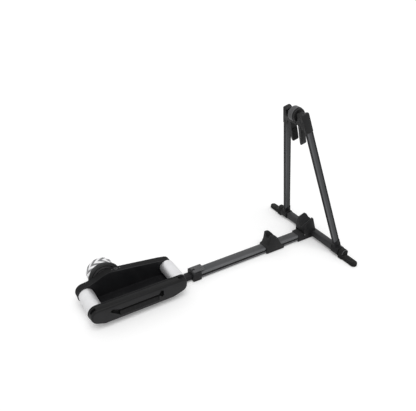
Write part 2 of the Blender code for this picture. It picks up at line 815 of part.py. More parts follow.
def make_left_cover():
    """Belt cover: a humped shell that is open towards the left frame plate."""
    depth = LEFT_COVER_DEPTH
    inner = COVER_Y
    outer = inner + depth
    hump = HUMP_HEIGHT
    outline = side_outline(margin=COVER_INSET, hump=hump)
    cover = plate("left_cover", [outline], depth, "XZ", (0, (inner + outer) / 2, 0), "black_plastic")
    round_outer_edge(cover, outer, LEFT_COVER_ROUND, 2)
    room = inset(outline, LEFT_COVER_WALL)
    hollow = plate("belt_room_cutter", [room], 2 * (depth - LEFT_COVER_WALL), "XZ", (0, inner, 0))
    bore = cylinder_cutter(
        "shaft_hole_cutter", AXLE_RADIUS + 0.002, outer - 0.02, outer + 0.02, FLYWHEEL_X, FLYWHEEL_AXIS_HEIGHT
    )
    inlet_x, inlet_z = inlet_place()
    inlet_hole = cylinder_cutter(
        "inlet_hole_cutter", INLET_RADIUS + GAP, outer - 0.02, outer + 0.02, inlet_x, inlet_z
    )
    cut(cover, hollow, bore, inlet_hole)
    turned("power_inlet", inlet_profile(outer), (inlet_x, 0, inlet_z), "black_plastic", None, 12)


def inlet_profile(face):
    """Round power socket: a flange on the cover's face, a barrel inside and a centre pin."""
    return [
        (0.0, face - 0.002),
        (0.001, face - 0.002),
        (0.001, face - 0.009),
        (0.0035, face - 0.009),
        (0.0035, face + 0.0024),
        (0.0085, face + 0.0024),
        (0.0085, face + GAP),
        (INLET_RADIUS, face + GAP),
        (INLET_RADIUS, face - 0.012),
        (0.0, face - 0.012),
    ]


def inlet_place():
    return FRONT_X - INLET_BACK, FRAME_BELLY_HEIGHT + INLET_RISE


def tensioner_axis():
    """The tensioner presses the lower run of the roller belt down from inside the loop."""
    drop = ROLLER_PULLEY_RADIUS - TENSIONER_RADIUS + TENSIONER_DROP
    return REAR_X + TENSIONER_STATION, ROLLER_AXIS_HEIGHT - drop


def make_belt_drive(bodies):
    """Roller belt over both pulleys and the tensioner, and flywheel belt to the flywheel shaft."""
    height = ROLLER_AXIS_HEIGHT
    tensioner_x, tensioner_z = tensioner_axis()
    rollers = [
        (REAR_X, height, ROLLER_PULLEY_RADIUS),
        (tensioner_x, tensioner_z, TENSIONER_RADIUS),
        (FRONT_X, height, ROLLER_PULLEY_RADIUS),
    ]
    belt("roller_belt", rollers, LANE_ONE_Y)
    drive = [
        (REAR_X, height, DRIVE_PULLEY_RADIUS),
        (FLYWHEEL_X, FLYWHEEL_AXIS_HEIGHT, FLYWHEEL_PULLEY_RADIUS),
    ]
    belt("flywheel_belt", drive, LANE_TWO_Y)
    low = LANE_ONE_Y - LANE_WIDTH / 2 - LANE_GAP / 2
    high = LANE_ONE_Y + LANE_WIDTH / 2 + LANE_GAP / 2
    place = (tensioner_x, 0.0, tensioner_z)
    stud = LEVER_PIN_RADIUS
    wheel = pulley("tensioner_wheel", [(TENSIONER_RADIUS, LANE_ONE_Y)], place, stud, low, high, None, 16)
    carried(wheel, bodies["tensioner"])
    profile = [
        (0.0, high + 0.003),
        (stud + 0.003, high + 0.003),
        (stud + 0.003, high + GAP),
        (stud, high + GAP),
        (stud, low - GAP),
        (stud + 0.004, low - GAP),
        (stud + 0.004, COVER_Y),
        (0.0, COVER_Y),
    ]
    turned("tensioner_stud", profile, place, "bright_steel", None, 16)


def make_flywheel(carrier):
    """Cast flywheel whose open side holds the brake, with its shaft and small pulley."""
    place = (FLYWHEEL_X, 0.0, FLYWHEEL_AXIS_HEIGHT)
    low = FLYWHEEL_Y
    high = FLYWHEEL_Y + FLYWHEEL_WIDTH
    bore = AXLE_RADIUS + GAP
    inner = FLYWHEEL_RADIUS - FLYWHEEL_RIM
    web_low = high - 0.006 - FLYWHEEL_WEB
    profile = [
        (FLYWHEEL_RADIUS - 0.002, high),
        (FLYWHEEL_RADIUS, high - 0.002),
        (FLYWHEEL_RADIUS, low + 0.002),
        (FLYWHEEL_RADIUS - 0.002, low),
        (inner, low),
        (inner, web_low),
        (FLYWHEEL_HUB_RADIUS, web_low),
        (FLYWHEEL_HUB_RADIUS, web_low - 0.006),
        (bore, web_low - 0.006),
        (bore, high - 0.001),
        (FLYWHEEL_HUB_RADIUS, high - 0.001),
        (FLYWHEEL_HUB_RADIUS + 0.004, high - 0.006),
        (inner + 0.002, high - 0.006),
        (inner + 0.006, high),
    ]
    carried(turned("flywheel", profile, place, "dark_iron", None, 36, ring=True), carrier)
    shaft_low = COVER_Y + GAP
    shaft_high = high - 0.0005
    shaft = rod("flywheel_shaft", AXLE_RADIUS, shaft_low, shaft_high, place, "bright_steel", None, 20, 0.001)
    carried(shaft, carrier)
    lanes = [(FLYWHEEL_PULLEY_RADIUS, LANE_TWO_Y)]
    lane_low = LANE_TWO_Y - LANE_WIDTH / 2 - LANE_GAP / 2
    lane_high = LANE_TWO_Y + LANE_WIDTH / 2 + LANE_GAP / 2
    wheel = pulley("flywheel_pulley", lanes, place, AXLE_RADIUS, lane_low, lane_high, None, 16)
    carried(wheel, carrier)


def make_brake():
    """Stepped brake housing on the belt cover, the outer flywheel bearing and the stator."""
    place = (FLYWHEEL_X, 0.0, FLYWHEEL_AXIS_HEIGHT)
    low = BRAKE_Y
    high = BRAKE_Y + BRAKE_DEPTH
    first = BRAKE_RADIUS
    second = BRAKE_RADIUS - BRAKE_STEP
    third = BRAKE_RADIUS - 2 * BRAKE_STEP
    hub = BEARING_RADIUS + 0.004
    neck = high + 0.016
    profile = [
        (BEARING_RADIUS + GAP, neck),
        (hub, neck),
        (hub, high),
        (third - 0.002, high),
        (third, high - 0.002),
        (third, high - 0.008),
        (second, high - 0.009),
        (second, high - 0.016),
        (first, high - 0.018),
        (first, low),
        (first - BRAKE_WALL - 0.002, low),
        (second - BRAKE_WALL, high - 0.019),
        (third - BRAKE_WALL, high - BRAKE_WALL),
        (hub, high - BRAKE_WALL),
        (hub, low),
        (AXLE_RADIUS + 0.002, low),
        (AXLE_RADIUS + 0.002, high),
        (BEARING_RADIUS + GAP, high),
    ]
    turned("brake_housing", profile, place, "black_plastic", None, 28, ring=True)
    bore = AXLE_RADIUS + GAP
    bearing = [
        (bore, neck - 0.001),
        (BEARING_RADIUS, neck - 0.001),
        (BEARING_RADIUS, high + GAP),
        (bore, high + GAP),
    ]
    turned("flywheel_bearing_outer", bearing, place, "bright_steel", None, 20, ring=True)
    pole_angle = 360 / STATOR_POLES
    outline = []
    for index in range(STATOR_POLES):
        middle = index * pole_angle
        outline += arc(0, 0, STATOR_RADIUS, middle - 0.36 * pole_angle, middle + 0.36 * pole_angle, 4)
        outline += arc(0, 0, STATOR_RADIUS - 0.006, middle + 0.36 * pole_angle, middle + 0.18 * pole_angle, 1)
        outline += arc(0, 0, STATOR_CORE_RADIUS, middle + 0.3 * pole_angle, middle + 0.7 * pole_angle, 2)
        outline += arc(0, 0, STATOR_RADIUS - 0.006, middle + 0.82 * pole_angle, middle + 0.64 * pole_angle, 1)
    depth = 0.013
    plate(
        "brake_stator",
        [outline, circle(0, 0, hub + GAP, 24)],
        depth,
        "XZ",
        (FLYWHEEL_X, FLYWHEEL_Y + depth / 2 - 0.001 + GAP, FLYWHEEL_AXIS_HEIGHT),
        "copper_brown",
    )


def make_base():
    """Pan, cross members with the slide tube through them, and the rubber strips below."""
    half = FRAME_Y - GAP
    pan_low = REAR_X + 0.052
    pan_high = FRONT_X - 0.052
    under = PAN_TOP - PAN_SHEET
    pan = block("base_pan", (pan_low, -half, PAN_TOP - PAN_LIP), (pan_high, half, PAN_TOP), "black_steel")
    rounded(pan, 0.004)
    for end, side in ((pan_low, -1), (pan_high, 1)):
        span = sorted((end - side * PAN_SHEET, end + side * PAN_SHELF))
        shelf = block("pan_shelf", (span[0], -half, under), (span[1], half, PAN_TOP - 0.0002))
        fuse(pan, shelf)
    room = block(
        "pan_room_cutter",
        (pan_low + PAN_SHEET, PAN_SHEET - half, PAN_TOP - 2 * PAN_LIP),
        (pan_high - PAN_SHEET, half - PAN_SHEET, under),
    )
    notch = block(
        "pan_notch_cutter",
        (pan_high - 0.02, -SLIDE_WIDTH / 2 - SLIDE_GAP, 0.0),
        (pan_high + 0.02, SLIDE_WIDTH / 2 + SLIDE_GAP, SLIDE_HIGH + SLIDE_GAP),
    )
    cut(pan, room, notch)
    top = under - GAP
    window = rounded_rectangle(
        -SLIDE_WIDTH / 2 - GAP, SLIDE_WIDTH / 2 + GAP, SLIDE_LOW - GAP, SLIDE_HIGH + GAP, 0.004
    )
    member_half = half - PAN_SHEET - GAP
    for word, station in (("rear", REAR_MEMBER_STATION), ("front", FRONT_MEMBER_STATION)):
        x = REAR_X + station
        section = [
            (-member_half + 0.012, CROSS_MEMBER_BOTTOM),
            (member_half - 0.012, CROSS_MEMBER_BOTTOM),
            (member_half, CROSS_MEMBER_BOTTOM + 0.012),
            (member_half, top),
            (-member_half, top),
            (-member_half, CROSS_MEMBER_BOTTOM + 0.012),
        ]
        plate(word + "_cross_member", [section, window], CROSS_MEMBER_WIDTH, "YZ", (x, 0, 0), "black_steel")
        pad_half = min(PAD_LENGTH / 2, member_half - 0.012)
        outline = rounded_rectangle(x - PAD_WIDTH / 2, x + PAD_WIDTH / 2, -pad_half, pad_half, 0.006)
        height = CROSS_MEMBER_BOTTOM - GAP
        plate(word + "_foot_strip", [outline], height, "XY", (0, 0, height / 2), "black_rubber")
    outer = rounded_rectangle(-SLIDE_WIDTH / 2, SLIDE_WIDTH / 2, SLIDE_LOW, SLIDE_HIGH, 0.004)
    hollow = SLIDE_WIDTH / 2 - SLIDE_WALL
    inner = rounded_rectangle(-hollow, hollow, SLIDE_LOW + SLIDE_WALL, SLIDE_HIGH - SLIDE_WALL, 0.002)
    low = FRONT_X - SLIDE_BACK
    high = FRONT_X + SLIDE_FRONT
    plate("slide_tube", [outer, inner], high - low, "YZ", ((low + high) / 2, 0, 0), "black_steel")


# Beam and base


def make_beam(carrier):
    """Beam extrusion with a groove along each side, open at the rear for the slide tube."""
    half = BEAM_WIDTH / 2
    low = BEAM_BOTTOM + GROOVE_LOW
    high = BEAM_BOTTOM + GROOVE_HIGH
    neck = half - GROOVE_DEPTH
    right = arc(half - BEAM_CORNER, BEAM_BOTTOM + BEAM_CORNER, BEAM_CORNER, -90, 0, 3)
    right += [(half, low), (neck, low + GROOVE_DEPTH), (neck, high - GROOVE_DEPTH), (half, high)]
    right += arc(half - BEAM_CORNER, BEAM_TOP - BEAM_CORNER, BEAM_CORNER, 0, 90, 3)
    left = [(-u, v) for u, v in reversed(right)]
    inner = rounded_rectangle(
        BEAM_WALL - half, half - BEAM_WALL, BEAM_BOTTOM + BEAM_WALL, BEAM_TOP - BEAM_WALL, 0.002
    )
    start = BEAM_REAR_X
    end = CROSS_X - CROSS_WIDTH / 2 - 2 * GAP
    beam = plate("beam", [right + left, inner], end - start, "YZ", ((start + end) / 2, 0, 0), "anodised")
    carried(beam, carrier)


def make_collar(carrier, lever_carrier):
    """Clamp collar round the beam's rear mouth. A lug on its top holds the pin of a flat lever,
    whose two cams reach through windows and press the beam on the slide tube."""
    low = BEAM_REAR_X - COLLAR_LIP
    high = low + COLLAR_LENGTH
    half = BEAM_WIDTH / 2 + COLLAR_WALL
    top = BEAM_TOP + COLLAR_WALL
    corner = (low, -half, BEAM_BOTTOM - COLLAR_DROP)
    collar = block("clamp_collar", corner, (high, half, top), "black_plastic")
    rounded(collar, 0.004, 2)
    pin_x, _, pin_z = lever_axis()
    foot = top - COLLAR_WALL / 2
    shape = [(pin_x - LUG_BASE, foot), (pin_x + LUG_BASE, foot), (pin_x + LUG_BASE, top)]
    shape += arc(pin_x, pin_z, LEVER_CAM_RADIUS, 30, 150, 6) + [(pin_x - LUG_BASE, top)]
    lug = plate("clamp_lug", [shape], 2 * LUG_HALF_WIDTH, "XZ", (0, 0, 0))
    fuse(collar, lug)
    beam_half = BEAM_WIDTH / 2 + GAP
    outline = rounded_rectangle(-beam_half, beam_half, BEAM_BOTTOM - GAP, BEAM_TOP + GAP, BEAM_CORNER, 3)
    length = 2 * COLLAR_LENGTH
    mouth = BEAM_REAR_X - GAP
    room = plate("collar_beam_cutter", [outline], length, "YZ", (mouth + length / 2, 0, 0))
    slide_half = SLIDE_WIDTH / 2 + SLIDE_GAP
    outline = rounded_rectangle(-slide_half, slide_half, SLIDE_LOW - SLIDE_GAP, SLIDE_HIGH + SLIDE_GAP, 0.004)
    throat = plate("collar_slide_cutter", [outline], 0.04, "YZ", (low, 0, 0))
    window_end = LEVER_HALF_WIDTH + SLIDE_GAP
    bore = (pin_x, 0, pin_z)
    hole = rod("collar_pin_cutter", LEVER_PIN_RADIUS + GAP, -window_end, window_end, bore, steps=14)
    room_radius = LEVER_CAM_RADIUS + 2 * SLIDE_GAP
    windows = []
    for side, word in ((1, "left"), (-1, "right")):
        ends = sorted((side * (LUG_HALF_WIDTH + GAP), side * window_end))
        rear = (pin_x - room_radius, ends[0], BEAM_TOP - 0.002)
        front = (pin_x + room_radius + 0.002, ends[1], top + 0.01)
        windows.append(block(word + "_cam_window_cutter", rear, front))
    cut(collar, room, throat, hole, *windows)
    for piece in (collar, lug, room, throat, hole, *windows):
        carried(piece, carrier)
    pin_half = LEVER_HALF_WIDTH - GAP
    pin = rod("clamp_pin", LEVER_PIN_RADIUS, -pin_half, pin_half, bore, "bright_steel", None, 14)
    carried(pin, carrier)
    seat = top + SLIDE_GAP
    tip = pin_x + LEVER_LENGTH
    high = pin_z + LEVER_CAM_RADIUS
    paddle = arc(pin_x, pin_z, LEVER_CAM_RADIUS, 90, 270, 9)
    paddle += [
        (pin_x + 0.004, pin_z - LEVER_CAM_RADIUS),
        (pin_x + 0.0092, seat),
        (tip - 0.008, seat),
        (tip, seat + 0.003),
        (tip, high - 0.002),
        (tip - 0.003, high),
    ]
    lever = plate("clamp_lever", [paddle], 2 * LEVER_HALF_WIDTH, "XZ", (0, 0, 0), "grey_plastic")
    rounded(lever, 0.0012, 2, 40)
    lever_hole = rod("lever_hole_cutter", LEVER_PIN_RADIUS + GAP, -0.1, 0.1, bore, steps=14)
    slot_half = LUG_HALF_WIDTH + SLIDE_GAP
    slot_end = LUG_BASE + 0.0015
    slot = block(
        "lever_slot_cutter",
        (pin_x - 2 * LUG_BASE, -slot_half, BEAM_TOP - 0.01),
        (pin_x + slot_end, slot_half, high + 0.01),
    )
    cut(lever, lever_hole, slot)
    for piece in (lever, lever_hole, slot):
        carried(piece, lever_carrier)


def lever_axis():
    """The lever's pin stands one cam radius and a sliding gap above the beam."""
    return (
        BEAM_REAR_X - COLLAR_LIP + LEVER_PIN_BACK,
        0.0,
        BEAM_TOP + LEVER_CAM_RADIUS + SLIDE_GAP,
    )


def tyre_groove(name, section):
    """Cutter for a tyre's channel: a ring about the front wheel's axle with the given section."""
    bottom = WHEEL_RADIUS + GROOVE_CLEARANCE
    profile = [(bottom - rise, half) for rise, half in reversed(section)]
    profile += [(bottom - rise, -half) for rise, half in section]
    return turned(name, profile, (WHEEL_X, 0, WHEEL_AXLE_HEIGHT), steps=96, ring=True)


def make_chock(carrier):
    """Wheel chock: a saddle that slides on the beam, with a horned channel for the tyre."""
    low = FRONT_X + CHOCK_STATION
    high = low + CHOCK_LENGTH
    half = BEAM_WIDTH / 2 + CHOCK_WALL
    floor = CHOCK_FLOOR_GAP
    saddle = BEAM_TOP + 0.006
    shape = [
        (low + 0.006, floor),
        (high, floor),
        (high, floor + 0.013),
        (high - 0.031, saddle),
        (high - 0.048, saddle + 0.036),
        (high - 0.062, CHOCK_HORN_HEIGHT - 0.016),
        (high - 0.076, CHOCK_HORN_HEIGHT - 0.003),
        (high - 0.088, CHOCK_HORN_HEIGHT),
        (high - 0.104, CHOCK_HORN_HEIGHT),
        (high - 0.105, CHOCK_HORN_HEIGHT - 0.020),
        (high - 0.109, CHOCK_HORN_HEIGHT - 0.045),
        (high - 0.118, saddle + 0.003),
        (low, saddle - 0.004),
    ]
    chock = plate("wheel_chock", [shape], 2 * half, "XZ", (0, 0, 0), "black_plastic")
    rounded(chock, 0.003, 2, 40)
    room_half = BEAM_WIDTH / 2 + SLIDE_GAP
    room_top = BEAM_TOP + SLIDE_GAP
    room = block("chock_beam_cutter", (low - 0.05, -room_half, -0.05), (high + 0.05, room_half, room_top))
    groove = tyre_groove("chock_groove_cutter", CHOCK_GROOVE)
    cut(chock, room, groove)
    for piece in (chock, room, groove):
        carried(piece, carrier)


def make_front(carrier):
    """Front block that joins beam and cross tube, the scooped wheel cradle on it, the cross
    tube, its pivot pins and the rubber stabiliser feet."""
    half = BEAM_WIDTH / 2 + BLOCK_WALL
    front = CROSS_X + BLOCK_FRONT
    back = CROSS_X - BLOCK_LENGTH
    cross_top = CROSS_AXIS_HEIGHT + CROSS_HEIGHT / 2
    shape = [
        (back, BEAM_BOTTOM - 0.003),
        (front - 0.006, BEAM_BOTTOM - 0.003),
        (front, BEAM_BOTTOM + 0.004),
        (front, BLOCK_TOP - 0.006),
        (front - 0.004, BLOCK_TOP),
        (back + 0.062, BLOCK_TOP),
        (back + 0.048, BEAM_TOP + 0.009),
        (back, BEAM_TOP + 0.004),
    ]
    body = plate("front_block", [shape], 2 * half, "XZ", (0, 0, 0), "black_plastic")
    rounded(body, 0.0025, 2, 40)
    beam_half = BEAM_WIDTH / 2 + GAP
    outline = rounded_rectangle(-beam_half, beam_half, BEAM_BOTTOM - GAP, BEAM_TOP + GAP, BEAM_CORNER, 3)
    reach = CROSS_X - CROSS_WIDTH / 2 - back
    beam_room = plate("block_beam_cutter", [outline], 2 * reach, "YZ", (back, 0, 0))
    wide = CROSS_WIDTH / 2 + GAP
    tall = CROSS_HEIGHT / 2 + GAP
    outline = rounded_rectangle(
        CROSS_X - wide, CROSS_X + wide, CROSS_AXIS_HEIGHT - tall, CROSS_AXIS_HEIGHT + tall, 0.006, 3
    )
    cross_room = plate("block_cross_cutter", [outline], 4 * half, "XZ", (0, 0, 0))
    cut(body, beam_room, cross_room)
    rear = CROSS_X - CRADLE_BACK
    nose = CROSS_X + CRADLE_FRONT
    crest = CROSS_X - CRADLE_CREST
    shape = [
        (rear, CRADLE_SKIRT),
        (nose, CRADLE_SKIRT),
        (nose, BLOCK_TOP + 0.002),
        (crest + 0.001, CRADLE_HEIGHT - 0.007),
        (crest, CRADLE_HEIGHT - 0.001),
        (crest - 0.009, CRADLE_HEIGHT),
        (rear + 0.016, CRADLE_HEIGHT - 0.013),
        (rear + 0.002, CRADLE_HEIGHT - 0.043),
        (rear, CRADLE_HEIGHT - 0.050),
    ]
    cradle = plate("wheel_cradle", [shape], 2 * CRADLE_HALF_WIDTH, "XZ", (0, 0, 0), "black_plastic")
    rounded(cradle, 0.004, 2, 35)
    groove = tyre_groove("cradle_groove_cutter", CRADLE_GROOVE)
    seat = block(
        "cradle_seat_cutter",
        (back - 0.05, -half - GAP, 0.0),
        (front + 0.05, half + GAP, BLOCK_TOP + GAP),
    )
    cut(cradle, groove, seat, cross_room)
    outer = rounded_rectangle(
        CROSS_X - CROSS_WIDTH / 2,
        CROSS_X + CROSS_WIDTH / 2,
        CROSS_AXIS_HEIGHT - CROSS_HEIGHT / 2,
        cross_top,
        0.006,
        3,
    )
    tube = plate(
        "cross_tube", [outer, inset(outer, CROSS_WALL)], 2 * CROSS_HALF_LENGTH, "XZ", (0, 0, 0), "anodised"
    )
    for piece in (body, beam_room, cross_room, cradle, groove, seat, tube):
        carried(piece, carrier)
    for side, word in ((1, "left"), (-1, "right")):
        make_pivot_and_foot(side, word, carrier)


def make_pivot_and_foot(side, word, carrier):
    """Pivot pin plugged into the cross tube, and the rubber foot pushed on its outer end."""
    place = (CROSS_X, 0.0, CROSS_AXIS_HEIGHT)
    plug = CROSS_WIDTH / 2 - CROSS_WALL - GAP
    inner = CROSS_HALF_LENGTH - PIVOT_PLUG
    outer = FOOT_Y + PIN_SEAT
    profile = [
        (0.0, outer),
        (PIVOT_RADIUS - 0.002, outer),
        (PIVOT_RADIUS, outer - 0.002),
        (PIVOT_RADIUS, CROSS_HALF_LENGTH),
        (plug, CROSS_HALF_LENGTH),
        (plug, inner),
        (0.0, inner),
    ]
    if side < 0:
        profile = [(radius, -along) for radius, along in reversed(profile)]
    carried(turned(word + "_pivot_pin", profile, place, "bright_steel", None, 18), carrier)
    low = FOOT_Y
    high = FOOT_Y + FOOT_BLOCK
    half = FOOT_WIDTH / 2
    outline = [(CROSS_X - half, 0.004), (CROSS_X - half + 0.004, 0.0), (CROSS_X + half - 0.004, 0.0)]
    outline += [(CROSS_X + half, 0.004)]
    outline += arc(CROSS_X, FOOT_HEIGHT - half, half, 0, 180, 8)
    middle = side * (low + high) / 2
    foot = plate(word + "_stabiliser", [outline], high - low, "XZ", (0, middle, 0), "black_rubber")
    rounded(foot, 0.003, 2, 60)
    tip = FOOT_HALF_SPAN
    width = TONGUE_WIDTH / 2
    root = low + 0.006
    sole = arc(CROSS_X, tip - width, width, 0, 180, 6) + [(CROSS_X - width, root), (CROSS_X + width, root)]
    if side < 0:
        sole = [(u, -v) for u, v in reversed(sole)]
    middle = TONGUE_LIFT + TONGUE_HEIGHT / 2
    tongue = plate(word + "_tongue", [sole], TONGUE_HEIGHT, "XY", (0, 0, middle))
    rounded(tongue, 0.007, 2, 60)
    bore = rod(
        word + "_foot_bore",
        PIVOT_RADIUS + GAP,
        -outer - GAP if side < 0 else low - 0.02,
        0.02 - low if side < 0 else outer + GAP,
        place,
        steps=24,
    )
    fuse(foot, tongue)
    cut(foot, bore)
    for piece in (foot, tongue, bore):
        carried(piece, carrier)


# Stand, modelled in its leaning frame: X forwards, Y to the left, Z up the stand


def leg_centre(height):
    """Sideways distance of a leg's centre line from the middle at a height up the stand."""
    return LEG_FOOT_HALF - height * math.tan(LEG_SPREAD)


def leg_section(name, depth, width, corner, low, high, side, finish, stand, wall=0.0):
    """A rounded rectangular length that follows a leg between two heights. A wall makes it hollow."""
    outline = rounded_rectangle(-depth / 2, depth / 2, -width / 2, width / 2, corner, 2)
    loops = [outline]
    if wall:
        loops.append(inset(outline, wall))
    cosine = math.cos(LEG_SPREAD)
    middle = (low + high) / 2
    place = (LEG_FORWARD, side * leg_centre(middle), middle)
    piece = plate(name, loops, (high - low) / cosine, "XY", place, finish, stand)
    piece.rotation_euler = (side * LEG_SPREAD, 0.0, 0.0)
    return piece


def make_legs(stand):
    """Two leg tubes, each in a knuckle that turns on its pivot pin."""
    for side, word in ((1, "left"), (-1, "right")):
        leg_section(
            word + "_leg", LEG_DEPTH, LEG_WIDTH, 0.006, LEG_START, LEG_TOP, side, "anodised", stand, LEG_WALL
        )
        low = KNUCKLE_Y
        high = KNUCKLE_Y + KNUCKLE_LENGTH
        profile = [
            (KNUCKLE_RADIUS - 0.002, high),
            (KNUCKLE_RADIUS, high - 0.002),
            (KNUCKLE_RADIUS, low + 0.002),
            (KNUCKLE_RADIUS - 0.002, low),
            (0.0, low),
        ]
        profile.insert(0, (0.0, high))
        if side < 0:
            profile = [(radius, -along) for radius, along in reversed(profile)]
        knuckle = turned(word + "_knuckle", profile, (0, 0, 0), "black_steel", stand, 20)
        wide = LEG_DEPTH + 2 * SLEEVE_WALL
        thick = LEG_WIDTH + 2 * SLEEVE_WALL
        socket = leg_section(word + "_socket", wide, thick, 0.008, 0.012, KNUCKLE_SOCKET, side, None, stand)
        name = word + "_socket_cutter"
        room = leg_section(
            name, LEG_DEPTH + 2 * GAP, LEG_WIDTH + 2 * GAP, 0.006, LEG_START - GAP, 0.2, side, None, stand
        )
        bore = rod(name + "_bore", PIVOT_RADIUS + GAP, -0.4, 0.4, (0, 0, 0), None, stand, 24)
        fuse(knuckle, socket)
        cut(knuckle, room, bore)


def make_yoke(stand):
    """Head yoke: two rails between sleeves that cap the leg tops, with cheeks bored for the
    screw and the guide rod and a room for the drum. A cover arches over the screw's right end."""
    reach = YOKE_DEPTH / 2
    outline = rounded_rectangle(-reach, reach, -YOKE_HALF_SPAN, YOKE_HALF_SPAN, 0.008, 3)
    middle = (YOKE_LOW + YOKE_HIGH) / 2
    yoke = plate("head_yoke", [outline], YOKE_HIGH - YOKE_LOW, "XY", (0, 0, middle), "black_plastic", stand)
    pieces = []
    rooms = []
    wide = LEG_DEPTH + 2 * SLEEVE_WALL
    thick = LEG_WIDTH + 2 * SLEEVE_WALL
    depth = LEG_DEPTH + 2 * GAP
    width = LEG_WIDTH + 2 * GAP
    under = SLEEVE_BOTTOM - 0.1
    cheek_low = GUIDE_HEIGHT - GUIDE_RADIUS - CHEEK_MARGIN
    cheek_high = SCREW_HEIGHT + HEAD_COVER_RISE - 0.001
    for side, word in ((1, "left"), (-1, "right")):
        name = word + "_sleeve"
        sleeve = leg_section(name, wide, thick, 0.008, SLEEVE_BOTTOM, SLEEVE_TOP, side, None, stand)
        rounded(sleeve, 0.006, 2, 60)
        sides = sorted((side * CHEEK_HALF, side * (CHEEK_HALF + CHEEK_THICKNESS)))
        back = (0.001 - reach, sides[0], cheek_low)
        cheek = block(word + "_cheek", back, (reach - 0.001, sides[1], cheek_high), None, stand)
        pieces += [sleeve, cheek]
        name += "_cutter"
        rooms.append(leg_section(name, depth, width, 0.006, under, LEG_TOP + GAP, side, None, stand))
    brow_low = SCREW_HEIGHT + JAW_NUT_RADIUS + 0.0025
    brow_back = (0.003 - reach, BROW_INNER, brow_low)
    brow_front = (reach - 0.003, CHEEK_HALF + BROW_THICKNESS, brow_low + BROW_THICKNESS)
    brow = block("left_brow", brow_back, brow_front, None, stand)
    rounded(brow, 0.003, 2)
    fuse(yoke, *pieces, brow)
    deep = reach - YOKE_WALL
    outline = rounded_rectangle(-deep, deep, -CHEEK_HALF, CHEEK_HALF, 0.004, 2)
    place = (0, 0, YOKE_HIGH - 2 * YOKE_DROP)
    well = plate("yoke_well_cutter", [outline], 4 * YOKE_DROP + 0.002, "XY", place, None, stand)
    seat = CHEEK_HALF + SCREW_SEAT
    place = (SCREW_FORWARD, 0, SCREW_HEIGHT)
    deep_end = seat + GAP
    screw_bore = rod("screw_bore_cutter", SCREW_RADIUS + GAP, -deep_end, deep_end, place, None, stand, 20)
    low = -DRUM_RIGHT - DRUM_CLEARANCE
    high = RING_LEFT + DRUM_CLEARANCE
    drum_room = rod("drum_room_cutter", RING_RADIUS + DRUM_CLEARANCE, low, high, place, None, stand, 40)
    place = (0, 0, GUIDE_HEIGHT)
    guide_bore = rod("guide_bore_cutter", GUIDE_RADIUS + GAP, -deep_end, deep_end, place, None, stand, 14)
    cut(yoke, *rooms, well, drum_room, screw_bore, guide_bore)
    rod("guide_rod", GUIDE_RADIUS, -seat, seat, place, "bright_steel", stand, 14)
    wall = HEAD_COVER_WALL
    low = YOKE_HIGH + GAP
    high = SCREW_HEIGHT + HEAD_COVER_RISE
    inner = reach - wall
    outline = [(reach, low), (reach, high - 0.006), (reach - 0.006, high)]
    outline += [(0.006 - reach, high), (-reach, high - 0.006), (-reach, low)]
    outline += [(-inner, low), (-inner, high - wall), (inner, high - wall), (inner, low)]
    length = CHEEK_HALF - GAP - HEAD_COVER_LEFT
    place = (0, -HEAD_COVER_LEFT - length / 2, 0)
    cover = plate("head_cover", [outline], length, "XZ", place, "black_plastic", stand)
    rounded(cover, 0.001, 1, 60)


def make_screw(carrier):
    """Lead screw with its black fluted drum and its wide grey ring, about its own axis."""
    reach = CHEEK_HALF + SCREW_SEAT - GAP
    rod("lead_screw", SCREW_RADIUS, -reach, reach, (0, 0, 0), "bright_steel", carrier, 16, 0.0008)
    count = 4 * DRUM_FLUTES
    outline = []
    for step in range(count):
        angle = 2 * math.pi * step / count
        radius = DRUM_RADIUS - FLUTE_DEPTH * (0.5 - 0.5 * math.cos(DRUM_FLUTES * angle))
        outline.append((radius * math.cos(angle), radius * math.sin(angle)))
    bore = circle(0, 0, SCREW_RADIUS + GAP, 16)
    width = DRUM_LEFT + DRUM_RIGHT
    middle = (DRUM_LEFT - DRUM_RIGHT) / 2
    plate("adjusting_drum", [outline, bore], width, "XZ", (0, middle, 0), "black_plastic", carrier)
    low = RING_LEFT - RING_WIDTH
    high = RING_LEFT
    profile = [
        (SCREW_RADIUS + GAP, high - 0.002),
        (RING_RADIUS - 0.010, high - 0.002),
        (RING_RADIUS - 0.008, high),
        (RING_RADIUS - 0.001, high),
        (RING_RADIUS, high - 0.001),
        (RING_RADIUS, low + 0.001),
        (RING_RADIUS - 0.001, low),
        (SCREW_RADIUS + GAP, low),
    ]
    turned("flange_ring", profile, (0, 0, 0), "grey_plastic", carrier, 32, ring=True)


